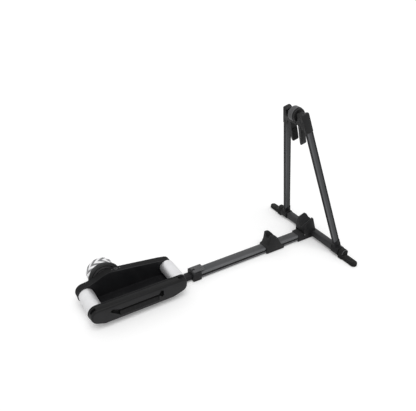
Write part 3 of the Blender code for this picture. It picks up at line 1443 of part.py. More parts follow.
def make_jaw(side, word, carrier):
    """A jaw: a tapered body that hangs below the yoke, an arm up past the drum, a nut on the
    screw and a rubber pad."""

    def span(inner, thickness):
        return sorted((side * inner, side * (inner + thickness)))

    low, high = span(JAW_INNER, JAW_THICKNESS)
    outer = JAW_INNER + JAW_THICKNESS
    half = JAW_HALF_WIDTH
    outline = arc(half - 0.009, JAW_BOTTOM + 0.009, 0.009, -90, 0, 4) + [(half, JAW_TOP), (-half, JAW_TOP)]
    outline += arc(0.006 - half, JAW_BOTTOM + 0.006, 0.006, 180, 270, 3)
    place = (0, (low + high) / 2, 0)
    jaw = plate(word + "_jaw", [outline], high - low, "XZ", place, "black_plastic", carrier)
    taper = [
        (outer + 0.01, JAW_TOP - 0.030),
        (outer, JAW_TOP - 0.030),
        (outer - 0.004, JAW_BOTTOM + 0.040),
        (outer - 0.008, JAW_BOTTOM + 0.014),
        (JAW_INNER + 0.006, JAW_BOTTOM - 0.001),
        (JAW_INNER + 0.006, JAW_BOTTOM - 0.01),
        (outer + 0.01, JAW_BOTTOM - 0.01),
    ]
    taper = [(side * u, v) for u, v in taper]
    taper_cutter = plate(word + "_jaw_taper_cutter", [taper], 4 * half, "YZ", (0, 0, 0), None, carrier)
    corner = [(half + 0.002, JAW_INNER + 0.003), (0.006, outer + 0.001), (half + 0.002, outer + 0.001)]
    corner = [(u, side * v) for u, v in corner]
    name = word + "_jaw_corner_cutter"
    corner_cutter = plate(name, [corner], 2 * JAW_HEIGHT + 0.02, "XY", (0, 0, JAW_BOTTOM), None, carrier)
    cut(jaw, taper_cutter, corner_cutter)
    rounded(jaw, 0.0015, 1, 30)
    arm_low, arm_high = span(JAW_ARM_INNER, JAW_ARM)
    arm = block(
        word + "_arm",
        (SCREW_FORWARD - JAW_ARM_HALF, arm_low, JAW_TOP - 0.006),
        (SCREW_FORWARD + JAW_ARM_HALF, arm_high, SCREW_HEIGHT),
        None,
        carrier,
    )
    nut_low, nut_high = span(JAW_NUT_INNER, JAW_NUT_LENGTH)
    place = (SCREW_FORWARD, 0, SCREW_HEIGHT)
    nut = rod(word + "_nut", JAW_NUT_RADIUS, nut_low, nut_high, place, None, carrier, 20)
    screw_room = rod(word + "_jaw_screw_cutter", SCREW_RADIUS + GAP, -0.1, 0.1, place, None, carrier, 16)
    place = (0, 0, GUIDE_HEIGHT)
    guide_room = rod(word + "_jaw_guide_cutter", GUIDE_RADIUS + GAP, -0.1, 0.1, place, None, carrier, 14)
    fuse(jaw, arm, nut)
    cut(jaw, screw_room, guide_room)
    pad_low, pad_high = span(JAW_INNER - GAP - JAW_PAD, JAW_PAD)
    side_edge = half - 0.002
    top_edge = JAW_BOTTOM + JAW_PAD_HEIGHT
    outline = rounded_rectangle(-side_edge, side_edge, JAW_BOTTOM + 0.004, top_edge, 0.008, 3)
    middle = (pad_low + pad_high) / 2
    pad = plate(word + "_jaw_pad", [outline], JAW_PAD, "XZ", (0, middle, 0), "black_rubber", carrier)
    rounded(pad, 0.001, 1, 60)


def smooth_round_pieces():
    """Shades the round pieces smooth, keeping their corners sharp."""
    for obj in bpy.data.collections[PARTS].objects:
        if obj.type == "MESH" and obj.data.polygons:
            obj.data.shade_smooth()
            obj.data.set_sharp_from_angle(angle=math.radians(30))


def build():
    clear_scene()
    height = ROLLER_AXIS_HEIGHT
    tensioner_x, tensioner_z = tensioner_axis()
    bodies = {
        "rear_roller": pivot("rear_roller_axis", (REAR_X, 0, height)),
        "front_roller": pivot("front_roller_axis", (FRONT_X, 0, height)),
        "flywheel": pivot("flywheel_axis", (FLYWHEEL_X, 0, FLYWHEEL_AXIS_HEIGHT)),
        "tensioner": pivot("tensioner_axis", (tensioner_x, 0, tensioner_z)),
        "beam": pivot("beam_slide", (BEAM_REAR_X, 0, BEAM_MID)),
        "lever": pivot("lever_axis", lever_axis()),
        "chock": pivot("chock_slide", (FRONT_X + CHOCK_STATION, 0, BEAM_MID)),
    }
    make_frames()
    make_right_cover()
    make_left_cover()
    make_base()
    make_roller("rear", REAR_X, bodies["rear_roller"], [
        (ROLLER_PULLEY_RADIUS, LANE_ONE_Y),
        (DRIVE_PULLEY_RADIUS, LANE_TWO_Y),
    ])
    make_roller("front", FRONT_X, bodies["front_roller"], [(ROLLER_PULLEY_RADIUS, LANE_ONE_Y)])
    make_belt_drive(bodies)
    make_flywheel(bodies["flywheel"])
    make_brake()
    make_beam(bodies["beam"])
    make_collar(bodies["beam"], bodies["lever"])
    make_chock(bodies["chock"])
    make_front(bodies["beam"])
    stand = pivot("stand_axis", (CROSS_X, 0, CROSS_AXIS_HEIGHT), (0, -STAND_LEAN, 0))
    make_legs(stand)
    make_yoke(stand)
    screw = pivot("screw_axis", (SCREW_FORWARD, 0, SCREW_HEIGHT))
    screw.parent = stand
    make_screw(screw)
    for side, word in ((1, "left"), (-1, "right")):
        slide = pivot(word + "_jaw_slide", (0, 0, 0))
        slide.parent = stand
        make_jaw(side, word, slide)
    smooth_round_pieces()


build()
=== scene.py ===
"""Looks of a wheel-on smart trainer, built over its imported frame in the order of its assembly."""
import json
import math

import bmesh
import bpy
import numpy as np
from mathutils import Matrix, Vector


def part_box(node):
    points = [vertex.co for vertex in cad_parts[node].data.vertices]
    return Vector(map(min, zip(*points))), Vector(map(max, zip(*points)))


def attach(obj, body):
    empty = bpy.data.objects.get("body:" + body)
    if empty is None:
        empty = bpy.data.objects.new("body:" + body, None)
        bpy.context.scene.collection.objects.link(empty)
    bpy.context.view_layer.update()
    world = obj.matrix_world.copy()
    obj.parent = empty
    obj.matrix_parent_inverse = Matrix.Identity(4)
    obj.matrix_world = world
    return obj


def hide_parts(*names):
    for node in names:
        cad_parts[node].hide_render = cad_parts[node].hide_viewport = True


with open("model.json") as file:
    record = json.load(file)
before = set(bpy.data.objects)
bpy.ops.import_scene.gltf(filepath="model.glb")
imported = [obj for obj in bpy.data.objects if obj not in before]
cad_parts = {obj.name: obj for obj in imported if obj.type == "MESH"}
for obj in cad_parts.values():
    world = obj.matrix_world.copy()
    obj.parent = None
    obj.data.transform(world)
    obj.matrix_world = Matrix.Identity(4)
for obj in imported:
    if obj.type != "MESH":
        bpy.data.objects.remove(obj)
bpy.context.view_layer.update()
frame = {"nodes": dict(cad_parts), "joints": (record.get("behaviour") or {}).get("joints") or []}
nodes = frame["nodes"]
joints = {joint["name"]: joint for joint in frame["joints"]}

# Studio: a white floor under one broad lamp and an even white surround, seen by a camera
# at the photograph's own place, about three metres off and looking down by 31 degrees.
EYE = Vector((-1.2041, -2.011, 1.836))
YAW = math.radians(30.48)
PITCH = math.radians(30.86)
ROLL = math.radians(-0.65)
FOCAL_PIXELS = 520.3
IMAGE_WIDTH = 416
SENSOR_WIDTH = 36.0
LAMP_ENERGY = 1.35
LAMP_SPREAD = math.radians(38)
LAMP_TILT = (math.radians(24), math.radians(-8), 0)
SURROUND_LIGHT = 0.58
FLOOR_WHITE = 0.93
FLOOR_LIFT = 0.17
FLOOR_HALF = 40.0
FLOOR_DROP = 0.0002

scene = bpy.context.scene
scene.view_settings.view_transform = "Standard"

ahead = Vector((math.sin(YAW) * math.cos(PITCH), math.cos(YAW) * math.cos(PITCH), -math.sin(PITCH)))
level_right = ahead.cross(Vector((0, 0, 1))).normalized()
level_up = level_right.cross(ahead)
camera_right = level_right * math.cos(ROLL) + level_up * math.sin(ROLL)
camera_up = level_up * math.cos(ROLL) - level_right * math.sin(ROLL)
camera_turn = Matrix((camera_right, camera_up, -ahead)).transposed().to_4x4()
camera_data = bpy.data.cameras.new("camera")
camera_data.sensor_width = SENSOR_WIDTH
camera_data.lens = FOCAL_PIXELS * SENSOR_WIDTH / IMAGE_WIDTH
camera = bpy.data.objects.new("camera", camera_data)
camera.matrix_world = Matrix.Translation(EYE) @ camera_turn
scene.collection.objects.link(camera)
scene.camera = camera

lamp_data = bpy.data.lights.new("overhead_lamp", "SUN")
lamp_data.energy = LAMP_ENERGY
lamp_data.angle = LAMP_SPREAD
lamp = bpy.data.objects.new("overhead_lamp", lamp_data)
lamp.rotation_euler = LAMP_TILT
scene.collection.objects.link(lamp)


def add_node(tree, kind, links=(), **values):
    """A node with its settings, the values of its open sockets and the links into it."""
    node = tree.nodes.new(kind)
    for key, value in values.items():
        if hasattr(node, key):
            setattr(node, key, value)
        else:
            node.inputs[key.replace("_", " ")].default_value = value
    for source, target in links:
        tree.links.new(source, node.inputs[target])
    return node


def maths(tree, operation, first, second=None):
    """One step of arithmetic on sockets or plain numbers."""
    node = add_node(tree, "ShaderNodeMath", operation=operation)
    for socket, value in zip(node.inputs, (first, second)):
        if isinstance(value, bpy.types.NodeSocket):
            tree.links.new(value, socket)
        elif value is not None:
            socket.default_value = value
    return node.outputs[0]


def ranged(tree, value, start, end, low=0.0, high=1.0):
    """Low where the value is at start, high where it is at end, and held beyond both."""
    node = add_node(
        tree, "ShaderNodeMapRange", [(value, "Value")],
        From_Min=start, From_Max=end, To_Min=low, To_Max=high,
    )
    return node.outputs["Result"]


def new_material(name):
    """A material with nodes, its node tree and the sockets of its Principled shader."""
    material = bpy.data.materials.new(name)
    material.use_nodes = True
    return material, material.node_tree, material.node_tree.nodes["Principled BSDF"].inputs


world = bpy.data.worlds.new("surround")
world.use_nodes = True
scene.world = world
sky = world.node_tree
backdrop = sky.nodes["Background"].inputs
backdrop["Color"].default_value = (1, 1, 1, 1)
rays = sky.nodes.new("ShaderNodeLightPath").outputs
mirrored = maths(sky, "MAXIMUM", rays["Is Glossy Ray"], rays["Is Transmission Ray"])
seen = maths(sky, "MAXIMUM", rays["Is Camera Ray"], mirrored)
sky.links.new(ranged(sky, seen, 0.0, 1.0, SURROUND_LIGHT, 1.0), backdrop["Strength"])

floor_mesh = bpy.data.meshes.new("floor")
corners = [(x * FLOOR_HALF, y * FLOOR_HALF, -FLOOR_DROP) for x, y in ((-1, -1), (1, -1), (1, 1), (-1, 1))]
floor_mesh.from_pydata(corners, [], [(0, 1, 2, 3)])
floor = bpy.data.objects.new("floor", floor_mesh)
scene.collection.objects.link(floor)
floor_paint, tree, shader = new_material("white_floor")
shader["Base Color"].default_value = (FLOOR_WHITE, FLOOR_WHITE, FLOOR_WHITE, 1)
shader["Roughness"].default_value = 0.9
shader["Specular IOR Level"].default_value = 0.0
shader["Emission Color"].default_value = (1, 1, 1, 1)
rays = tree.nodes.new("ShaderNodeLightPath").outputs
tree.links.new(maths(tree, "MULTIPLY", rays["Is Camera Ray"], FLOOR_LIFT), shader["Emission Strength"])
floor_mesh.materials.append(floor_paint)

# Frame plates and base of the roller unit: laser-cut and folded steel with a black powder
# coat, both plates welded to the pan and to two cross members that hold the slide tube.
DUST_COLOUR = (0.30, 0.29, 0.27)
SHARP_CORNER = math.radians(32)
WELD_DISTANCE = 0.00002


def shader_group(name, inputs, outputs):
    """An empty shader node group with named numbers going in and named sockets coming out."""
    group = bpy.data.node_groups.new(name, "ShaderNodeTree")
    for label, value in inputs.items():
        socket = group.interface.new_socket(label, in_out="INPUT", socket_type="NodeSocketFloat")
        socket.default_value = value
    for label, kind in outputs.items():
        group.interface.new_socket(label, in_out="OUTPUT", socket_type="NodeSocket" + kind)
    given = group.nodes.new("NodeGroupInput").outputs
    result = group.nodes.new("NodeGroupOutput").inputs
    return group, given, result


def noise(tree, place, scale, detail):
    """Noise over a place, its scale a number or a socket."""
    node = add_node(tree, "ShaderNodeTexNoise", [(place, "Vector")], Detail=detail)
    if isinstance(scale, bpy.types.NodeSocket):
        tree.links.new(scale, node.inputs["Scale"])
    else:
        node.inputs["Scale"].default_value = scale
    return node.outputs["Fac"]


def make_grain():
    """Fine grain and wide clouding, both from noise on the piece's own coordinates in metres."""
    inputs = {"Grain": 900.0, "Cloud": 14.0}
    group, given, result = shader_group("coat_grain", inputs, {"Height": "Float", "Cloud": "Float"})
    place = group.nodes.new("ShaderNodeTexCoord").outputs["Object"]
    fine = noise(group, place, given["Grain"], 2.0)
    wide = noise(group, place, given["Cloud"], 4.0)
    group.links.new(fine, result["Height"])
    group.links.new(ranged(group, wide, 0.3, 0.7), result["Cloud"])
    return group


def make_dust():
    """Pale dust on faces that look up: the normal's height times a broken noise."""
    group, given, result = shader_group("settled_dust", {"Amount": 0.3}, {"Mask": "Float"})
    place = group.nodes.new("ShaderNodeTexCoord").outputs["Object"]
    normal = group.nodes.new("ShaderNodeNewGeometry").outputs["Normal"]
    parts = add_node(group, "ShaderNodeSeparateXYZ", [(normal, 0)])
    upward = ranged(group, parts.outputs["Z"], 0.3, 1.0)
    broken = ranged(group, noise(group, place, 60.0, 6.0), 0.45, 0.75)
    settled = maths(group, "MULTIPLY", upward, broken)
    group.links.new(maths(group, "MULTIPLY", settled, given["Amount"]), result["Mask"])
    return group


def make_soft_edges():
    """Rounds corners in the shading only: a bevelled normal, and a mask that rises from 0 on a flat
    to 1 on a corner as the dot product of the bevelled and the true normal falls."""
    outputs = {"Mask": "Float", "Normal": "Vector"}
    group, given, result = shader_group("soft_edges", {"Radius": 0.0008}, outputs)
    bevelled = add_node(group, "ShaderNodeBevel", [(given["Radius"], "Radius")], samples=4).outputs[0]
    flat = group.nodes.new("ShaderNodeNewGeometry").outputs["Normal"]
    alike = add_node(group, "ShaderNodeVectorMath", [(bevelled, 0), (flat, 1)], operation="DOT_PRODUCT")
    group.links.new(ranged(group, alike.outputs["Value"], 0.985, 0.80), result["Mask"])
    group.links.new(bevelled, result["Normal"])
    return group


coat_grain = make_grain()
settled_dust = make_dust()
soft_edges = make_soft_edges()


def blended(tree, mask, under, over):
    """The mix of two colours by a mask, each colour a socket or three plain numbers."""
    node = add_node(tree, "ShaderNodeMix", [(mask, 0)], data_type="RGBA")
    for socket, colour in ((node.inputs[6], under), (node.inputs[7], over)):
        if isinstance(colour, bpy.types.NodeSocket):
            tree.links.new(colour, socket)
        else:
            socket.default_value = (*colour, 1)
    return node.outputs[2]


def coated(
    name, dark, light, rough, grain, depth,
    metallic=0.0, cloud=14.0, dust=0.0, gloss=0.5, edge_shading_and_wear=None, edge=0.0008,
):
    """A finish whose colour and roughness drift between two values and whose grain is a fine bump.
    Its corners are rounded by the edge radius in the shading, and an edge colour is painted there:
    lighter than the finish as a painted highlight on the plastics and anodised parts, darker as
    painted shade on the legs."""
    material, tree, shader = new_material(name)
    shader["Metallic"].default_value = metallic
    shader["Specular IOR Level"].default_value = gloss
    texture = add_node(tree, "ShaderNodeGroup", node_tree=coat_grain, Grain=grain, Cloud=cloud).outputs
    rounded = add_node(tree, "ShaderNodeGroup", node_tree=soft_edges, Radius=edge).outputs
    colour = blended(tree, texture["Cloud"], dark, light)
    # The edge colour is painted along the corners: lighter than the finish on most, darker on the legs.
    if edge_shading_and_wear:
        colour = blended(tree, rounded["Mask"], colour, edge_shading_and_wear)
    if dust:
        powder = add_node(tree, "ShaderNodeGroup", node_tree=settled_dust, Amount=dust)
        colour = blended(tree, powder.outputs["Mask"], colour, DUST_COLOUR)
    relief = add_node(
        tree, "ShaderNodeBump", [(texture["Height"], "Height"), (rounded["Normal"], "Normal")],
        Strength=0.5, Distance=depth,
    )
    tree.links.new(colour, shader["Base Color"])
    tree.links.new(ranged(tree, texture["Cloud"], 0.0, 1.0, *rough), shader["Roughness"])
    tree.links.new(relief.outputs["Normal"], shader["Normal"])
    return material


def make_corner_shading():
    """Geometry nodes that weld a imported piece, smooth its curves and keep its steep edges sharp."""
    group = bpy.data.node_groups.new("corner_shading", "GeometryNodeTree")
    group.interface.new_socket("Geometry", in_out="INPUT", socket_type="NodeSocketGeometry")
    group.interface.new_socket("Geometry", in_out="OUTPUT", socket_type="NodeSocketGeometry")
    packed = group.nodes.new("NodeGroupInput").outputs[0]
    result = group.nodes.new("NodeGroupOutput").inputs[0]
    plain = add_node(group, "GeometryNodeRemoveAttribute", [(packed, 0)], Name="custom_normal")
    welded = add_node(group, "GeometryNodeMergeByDistance", [(plain.outputs[0], 0)], Distance=WELD_DISTANCE)
    smooth = add_node(group, "GeometryNodeSetShadeSmooth", [(welded.outputs[0], 0)], domain="FACE")
    bend = group.nodes.new("GeometryNodeInputMeshEdgeAngle").outputs[0]
    steep = add_node(group, "FunctionNodeCompare", [(bend, 0)], data_type="FLOAT", operation="GREATER_THAN")
    steep.inputs[1].default_value = SHARP_CORNER
    sharp = add_node(
        group, "GeometryNodeSetShadeSmooth", [(smooth.outputs[0], 0), (steep.outputs[0], "Selection")],
        domain="EDGE", Shade_Smooth=False,
    )
    group.links.new(sharp.outputs[0], result)
    return group


corner_shading = make_corner_shading()


def dress(material, slot, *names):
    """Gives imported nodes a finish, and shades their curves smooth between sharp corners."""
    for name in names:
        piece = nodes[name]
        piece.data.materials.clear()
        piece.data.materials.append(material)
        shading = piece.modifiers.new("corner_shading", "NODES")
        shading.node_group = corner_shading


# Its corners are painted lighter by the edge colour.
black_powder_coat = coated(
    "black_powder_coat", (0.009, 0.009, 0.010), (0.013, 0.013, 0.014), (0.40, 0.52), 520.0, 0.0003,
    gloss=0.16, edge_shading_and_wear=(0.030, 0.030, 0.031),
)
dress(
    black_powder_coat, "black_steel",
    "right_frame", "left_frame", "base_pan", "rear_cross_member", "front_cross_member", "slide_tube",
)

# Foot strips: extruded rubber with five treads on its sole, cut round at both ends and pressed
# on under the cross members, so that the roller unit doesn't creep.
STRIP_TREADS = 5
TREAD_DEPTH = 0.0014
STRIP_EDGE = 0.001
STRIP_END_SHARE = 0.05

sole_rubber = coated(
    "sole_rubber", (0.010, 0.010, 0.010), (0.016, 0.016, 0.016), (0.66, 0.84), 1500.0, 0.0002,
    dust=0.10, gloss=0.14, edge=0.0015,
)


def points(x, y, z):
    """Points from three coordinates that stretch to one row or grid."""
    return np.stack(np.broadcast_arrays(x, y, z), axis=-1)


def skin(name, grid, wrap_rows=False, wrap_columns=False):
    """A mesh through a grid of points, rows by columns by three. Quads join each point to its
    neighbours, wrapping where asked; doubled points are merged and the faces turned outwards."""
    index = np.arange(grid.shape[0] * grid.shape[1]).reshape(grid.shape[:2])
    if wrap_rows:
        index = np.concatenate((index, index[:1]))
    if wrap_columns:
        index = np.concatenate((index, index[:, :1]), axis=1)
    quads = np.stack((index[:-1, :-1], index[:-1, 1:], index[1:, 1:], index[1:, :-1]), axis=-1)
    mesh = bpy.data.meshes.new(name)
    mesh.from_pydata(grid.reshape(-1, 3).tolist(), [], quads.reshape(-1, 4).tolist())
    work = bmesh.new()
    work.from_mesh(mesh)
    bmesh.ops.remove_doubles(work, verts=work.verts, dist=1e-7)
    bmesh.ops.recalc_face_normals(work, faces=work.faces)
    work.to_mesh(mesh)
    work.free()
    piece = bpy.data.objects.new(name, mesh)
    scene.collection.objects.link(piece)
    return piece


def crisp(piece, degrees=32):
    """Smooth shading with sharp edges where faces meet at more than the angle."""
    piece.data.shade_smooth()
    piece.data.set_sharp_from_angle(angle=math.radians(degrees))
    return piece


def finish_piece(piece, material, body):
    """Gives a new piece its finish and its body."""
    piece.data.materials.append(material)
    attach(piece, body)


def loft(name, rings):
    """A closed body through a stack of equal rings of points, rows by columns by three. Each end
    is closed by a fan to the middle of its ring."""
    rings = np.array(rings, float)
    first = np.repeat(rings[:1].mean(axis=1, keepdims=True), rings.shape[1], axis=1)
    last = np.repeat(rings[-1:].mean(axis=1, keepdims=True), rings.shape[1], axis=1)
    return skin(name, np.concatenate((first, rings, last)), wrap_columns=True)


# Across a strip its sole steps up and down between treads. Its half width is the whole one times
# the root of 1 less the square of the way past its straight part.
for end in ("rear", "front"):
    low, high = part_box(end + "_foot_strip")
    middle = (low.x + high.x) / 2
    half = (high.x - low.x) / 2
    share = np.concatenate((np.linspace(0, 0.06, 5), np.linspace(0.09, 0.91, 9), np.linspace(0.94, 1, 5)))
    past_straight = (np.abs(share - 0.5) - 0.5 + STRIP_END_SHARE).clip(0) / STRIP_END_SHARE
    narrowed = np.sqrt(np.clip(1 - past_straight ** 2, 0.15, 1))[:, None]
    stations = np.arange(4 * STRIP_TREADS + 1)
    sole = low.z + np.where(stations % 4 < 2, 0.0, TREAD_DEPTH)
    across = np.concatenate((stations / (2 * STRIP_TREADS) - 1, [1.0, 0.94, -0.94, -1.0]))
    up = np.concatenate((sole, [high.z - STRIP_EDGE, high.z, high.z, high.z - STRIP_EDGE]))
    along = (low.y + (high.y - low.y) * share)[:, None]
    strip = crisp(loft(end + "_tread_strip", points(middle + half * across * narrowed, along, up)), 25)
    finish_piece(strip, sole_rubber, "roller_unit")
    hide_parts(end + "_foot_strip")

# Welds between the pan and the frame plates: one rippled bead of steel along each long edge,
# coated together with the plates.
SIDES = ((-1, "right"), (1, "left"))
BEAD_RADIUS = 0.0017
BEAD_RIPPLE = 0.16
BEAD_PITCH = 0.0036
BEAD_INSET = 0.034
BEAD_SUNK = 0.0004
BEAD_RISE = 0.0003


def tube(name, path, radius, normal, columns=8):
    """A round bar along a flat path: each ring is centre + r (cos a side + sin a normal), where side
    is the tangent crossed with the plane's normal. The radius may change from ring to ring."""
    ahead = np.gradient(path, axis=0)
    ahead = ahead / np.linalg.norm(ahead, axis=1, keepdims=True)
    up = np.array(normal, float)
    side = np.cross(ahead, up)[:, None]
    angle = np.linspace(0, 2 * math.pi, columns, endpoint=False)[None, :, None]
    thick = np.broadcast_to(radius, len(path))[:, None, None]
    return loft(name, path[:, None] + thick * (np.cos(angle) * side + np.sin(angle) * up))


# A bead's radius swells by the size of a sine of the way along it, once in each pitch.
pan_low, pan_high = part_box("base_pan")
along = np.linspace(pan_low.x + BEAD_INSET, pan_high.x - BEAD_INSET, 321)
ripple = BEAD_RADIUS * (1 + BEAD_RIPPLE * np.abs(np.sin(math.pi * (along - along[0]) / BEAD_PITCH)))
for side, word in SIDES:
    path = points(along, side * (pan_high.y - BEAD_SUNK), pan_high.z + BEAD_RISE)
    bead = crisp(tube("pan_weld_" + word, path, ripple, (0, 0, 1)), 60)
    finish_piece(bead, black_powder_coat, "roller_unit")

# Covers of the roller unit: injection-moulded black plastic with a fine eroded texture. The
# right one has the hand grip, the left one closes the belts in and holds the power socket.
# Its corners are painted lighter, as a painted highlight along each edge.
moulded_black = coated(
    "moulded_black", (0.0125, 0.0125, 0.0130), (0.0170, 0.0170, 0.0178), (0.40, 0.52), 1300.0, 0.00025,
    gloss=0.17, edge_shading_and_wear=(0.046, 0.046, 0.048), edge=0.0024,
)
dress(moulded_black, "black_plastic", "power_inlet")


def make_colour_step():
    """Adds a change to a factor as a place goes from start to end."""
    inputs = {"Place": 0.0, "Start": 0.0, "End": 1.0, "Change": 0.0, "Factor": 1.0}
    group, given, result = shader_group("colour_step", inputs, {"Factor": "Float"})
    links = [(given["Place"], "Value"), (given["Start"], "From Min"), (given["End"], "From Max")]
    links += [(given["Change"], "To Max")]
    changed = add_node(group, "ShaderNodeMapRange", links, To_Min=0.0)
    group.links.new(maths(group, "ADD", changed.outputs[0], given["Factor"]), result["Factor"])
    return group


colour_step = make_colour_step()


def paint_light_bands(material, axis, stops, moved=(0, 0, 0), turned=(0, 0, 0)):
    """Paints light and shade into a finish's colour in bands: multiplies it along one axis of the piece
    by stops of (place in metres, factor) read from Object coordinates after a shift and a turn. Along Y
    both halves are alike."""
    tree = material.node_tree
    base = tree.nodes["Principled BSDF"].inputs["Base Color"]
    place = tree.nodes.new("ShaderNodeTexCoord").outputs["Object"]
    shifted = add_node(
        tree, "ShaderNodeMapping", [(place, "Vector")],
        vector_type="TEXTURE", Location=moved, Rotation=turned,
    )
    along = add_node(tree, "ShaderNodeSeparateXYZ", [(shifted.outputs[0], 0)]).outputs[axis]
    if axis == "Y":
        along = maths(tree, "ABSOLUTE", along)
    links = [(along, "Place")]
    for (start, before), (end, after) in zip(stops[:-1], stops[1:]):
        step = add_node(
            tree, "ShaderNodeGroup", links,
            node_tree=colour_step, Start=start, End=end, Change=after - before, Factor=before,
        )
        links = [(along, "Place"), (step.outputs["Factor"], "Factor")]
    links = [(base.links[0].from_socket, 0), (step.outputs["Factor"], "Scale")]
    scaled = add_node(tree, "ShaderNodeVectorMath", links, operation="SCALE")
    tree.links.new(scaled.outputs[0], base)


# The right cover's own copy of the moulded black, with painted light. Its corners are painted lighter, as a
# painted highlight along each edge.
grip_cover_black = coated(
    "grip_cover_black", (0.0130, 0.0130, 0.0135), (0.0175, 0.0175, 0.0183), (0.40, 0.52), 1300.0, 0.00025,
    gloss=0.16, edge_shading_and_wear=(0.046, 0.046, 0.048), edge=0.0024,
)
# Painted light and shade in bands: the top painted darker as shade, the outer face painted lighter as a
# painted reflection, and the bottom edge much lighter as a painted reflection of the floor.
paint_light_bands(grip_cover_black, "Y", [(0.090, 1.0), (0.102, 0.62), (0.1190, 0.62), (0.1204, 1.35)])
paint_light_bands(grip_cover_black, "Z", [(0.036, 2.2), (0.043, 1.0), (0.114, 1.0), (0.121, 0.68)])
dress(grip_cover_black, "black_plastic", "right_cover")
# Its corners are painted lighter, as a painted highlight along each edge.
belt_cover_black = coated(
    "belt_cover_black", (0.0185, 0.0185, 0.0190), (0.0240, 0.0240, 0.0247), (0.42, 0.54), 1300.0, 0.00025,
    gloss=0.01, edge_shading_and_wear=(0.060, 0.060, 0.061), edge=0.0030,
)
dress(belt_cover_black, "black_plastic", "left_cover")

# Screws of the roller unit: blackened steel cap screws with a hexagon socket. Six go through the
# left cover, and five go through the right frame plate from inside. A size is (radius, height).
COVER_SCREW = (0.0042, 0.0018)
FRAME_SCREW = (0.0040, 0.0016)
SOCKET_SHARE = 0.45
SCREW_STEPS = 36
LEFT_COVER_SCREWS = (
    (-0.022, 0.012), (0.230, 0.058), (0.330, 0.046), (0.440, 0.020), (0.380, -0.044), (0.060, -0.044),
)
RIGHT_FRAME_SCREWS = ((-0.020, -0.004), (0.066, -0.028), (0.210, -0.044), (0.372, -0.026), (0.474, 0.004))

# Their head corners are painted lighter by the edge colour.
blackened_screw = coated(
    "blackened_screw", (0.020, 0.020, 0.021), (0.035, 0.035, 0.036), (0.30, 0.42), 2500.0, 0.0001,
    metallic=0.8, edge_shading_and_wear=(0.20, 0.20, 0.20), edge=0.0003,
)


def facing(place, outward):
    """The matrix that stands a piece made about +Z on a place, turned to look outward."""
    turn = Vector((0, 0, 1)).rotation_difference(Vector(outward)).to_matrix().to_4x4()
    return Matrix.Translation(Vector(place)) @ turn


def screw_head(name, place, outward, size, material, body, within=Matrix()):
    """A cap screw's head with a hexagon socket, facing outward. The socket's rings have the radius
    apothem / cos(angle from the nearest flat's middle); the other rings are round."""
    radius, height = size
    angle = np.linspace(0, 2 * math.pi, SCREW_STEPS, endpoint=False)
    hexagon = SOCKET_SHARE * radius / np.cos(angle % (math.pi / 3) - math.pi / 6)
    rings = [(0.05 * hexagon, 0.30), (hexagon, 0.36), (hexagon, 0.95), (1.08 * hexagon, 1.0)]
    rings += [(0.84 * radius, 1.0), (0.96 * radius, 0.86), (radius, 0.6), (radius, -0.5)]
    rings = [points(around * np.cos(angle), around * np.sin(angle), height * up) for around, up in rings]
    piece = loft(name, rings)
    piece.data.transform(within @ facing(place, outward))
    finish_piece(crisp(piece), material, body)


roller_axis = Vector(joints["rear_roller_spin"]["pos_m"])
for carrier, places, size in (
    ("left_cover", LEFT_COVER_SCREWS, COVER_SCREW), ("right_frame", RIGHT_FRAME_SCREWS, FRAME_SCREW),
):
    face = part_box(carrier)[1].y
    for number, (forward, up) in enumerate(places):
        place = (roller_axis.x + forward, face, roller_axis.z + up)
        screw_head(f"{carrier}_screw_{number + 1}", place, (0, 1, 0), size, blackened_screw, "roller_unit")

# Grip strip under the lip of the hand recess: soft rubber with fine cross ribs, glued to the
# recess's sloping wall. Its near-black colour paints the shade under the lip.
GRIP_SPAN = (-0.5985, -0.3880)
GRIP_HEIGHTS = (0.0720, 0.0868)
GRIP_THICK = 0.0022
GRIP_RIB_DEPTH = 0.0007
GRIP_RIB_PITCH = 0.0054
GRIP_SUNK = 0.0004
WALL_HEIGHTS = (0.0500, 0.0880)
WALL_DEPTHS = (0.0008, 0.0130)

# Near-black, so that the strip paints the shade under the recess's lip.
strip_rubber_and_lip_shade = coated(
    "strip_rubber_and_lip_shade", (0.0040, 0.0040, 0.0040), (0.0070, 0.0070, 0.0070), (0.70, 0.85), 1500.0, 0.0002,
    gloss=0.05,
)
# The strip stands off the sloping wall by its thickness, less at a notch in every pitch along it,
# and falls away to just inside the wall at its upper and lower edge.
along = np.linspace(*GRIP_SPAN, 211)[:, None]
in_groove = np.abs((along / GRIP_RIB_PITCH) % 1.0 - 0.5) > 0.32
proud = np.array((0.0, 0.8, 1.0, 1.0, 0.8, 0.0)) * (GRIP_THICK - GRIP_RIB_DEPTH * in_groove)
proud[:, [0, -1]] = -GRIP_SUNK
up = np.linspace(*GRIP_HEIGHTS, 6)
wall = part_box("right_cover")[0].y + np.interp(up, WALL_HEIGHTS, WALL_DEPTHS)
strip = crisp(loft("grip_strip", points(along, wall - proud, up)), 24)
finish_piece(strip, strip_rubber_and_lip_shade, "roller_unit")

# Key on top of the belt cover: a round push key in a raised bezel, with a pale lens to each side
# of it that shows the link and the power. All are moulded, and pressed in from above.
KEY_PLACE = Vector((-0.5248, 0.1009, 0.1660))
KEY_UP = Vector((0.131, 0, 0.991))
LENS_PLACES = ((-0.5024, 0.1017, 0.1630), (-0.5460, 0.1000, 0.1686))
BEZEL_SIZE = (0.0056, 0.0104, 0.0011)
KEY_PROFILE = [
    (0.0001, 0.0002), (0.0036, 0.0003), (0.0048, 0.0007),
    (0.0053, 0.0005), (0.0053, -0.0008), (0.0001, -0.0008),
]
LENS_PROFILE = [
    (0.0001, 0.0010), (0.0012, 0.0009), (0.0021, 0.0005),
    (0.0025, 0.0), (0.0025, -0.0008), (0.0001, -0.0008),
]
WASHER_CORNER = 0.0003
WASHER_SUNK = 0.0006


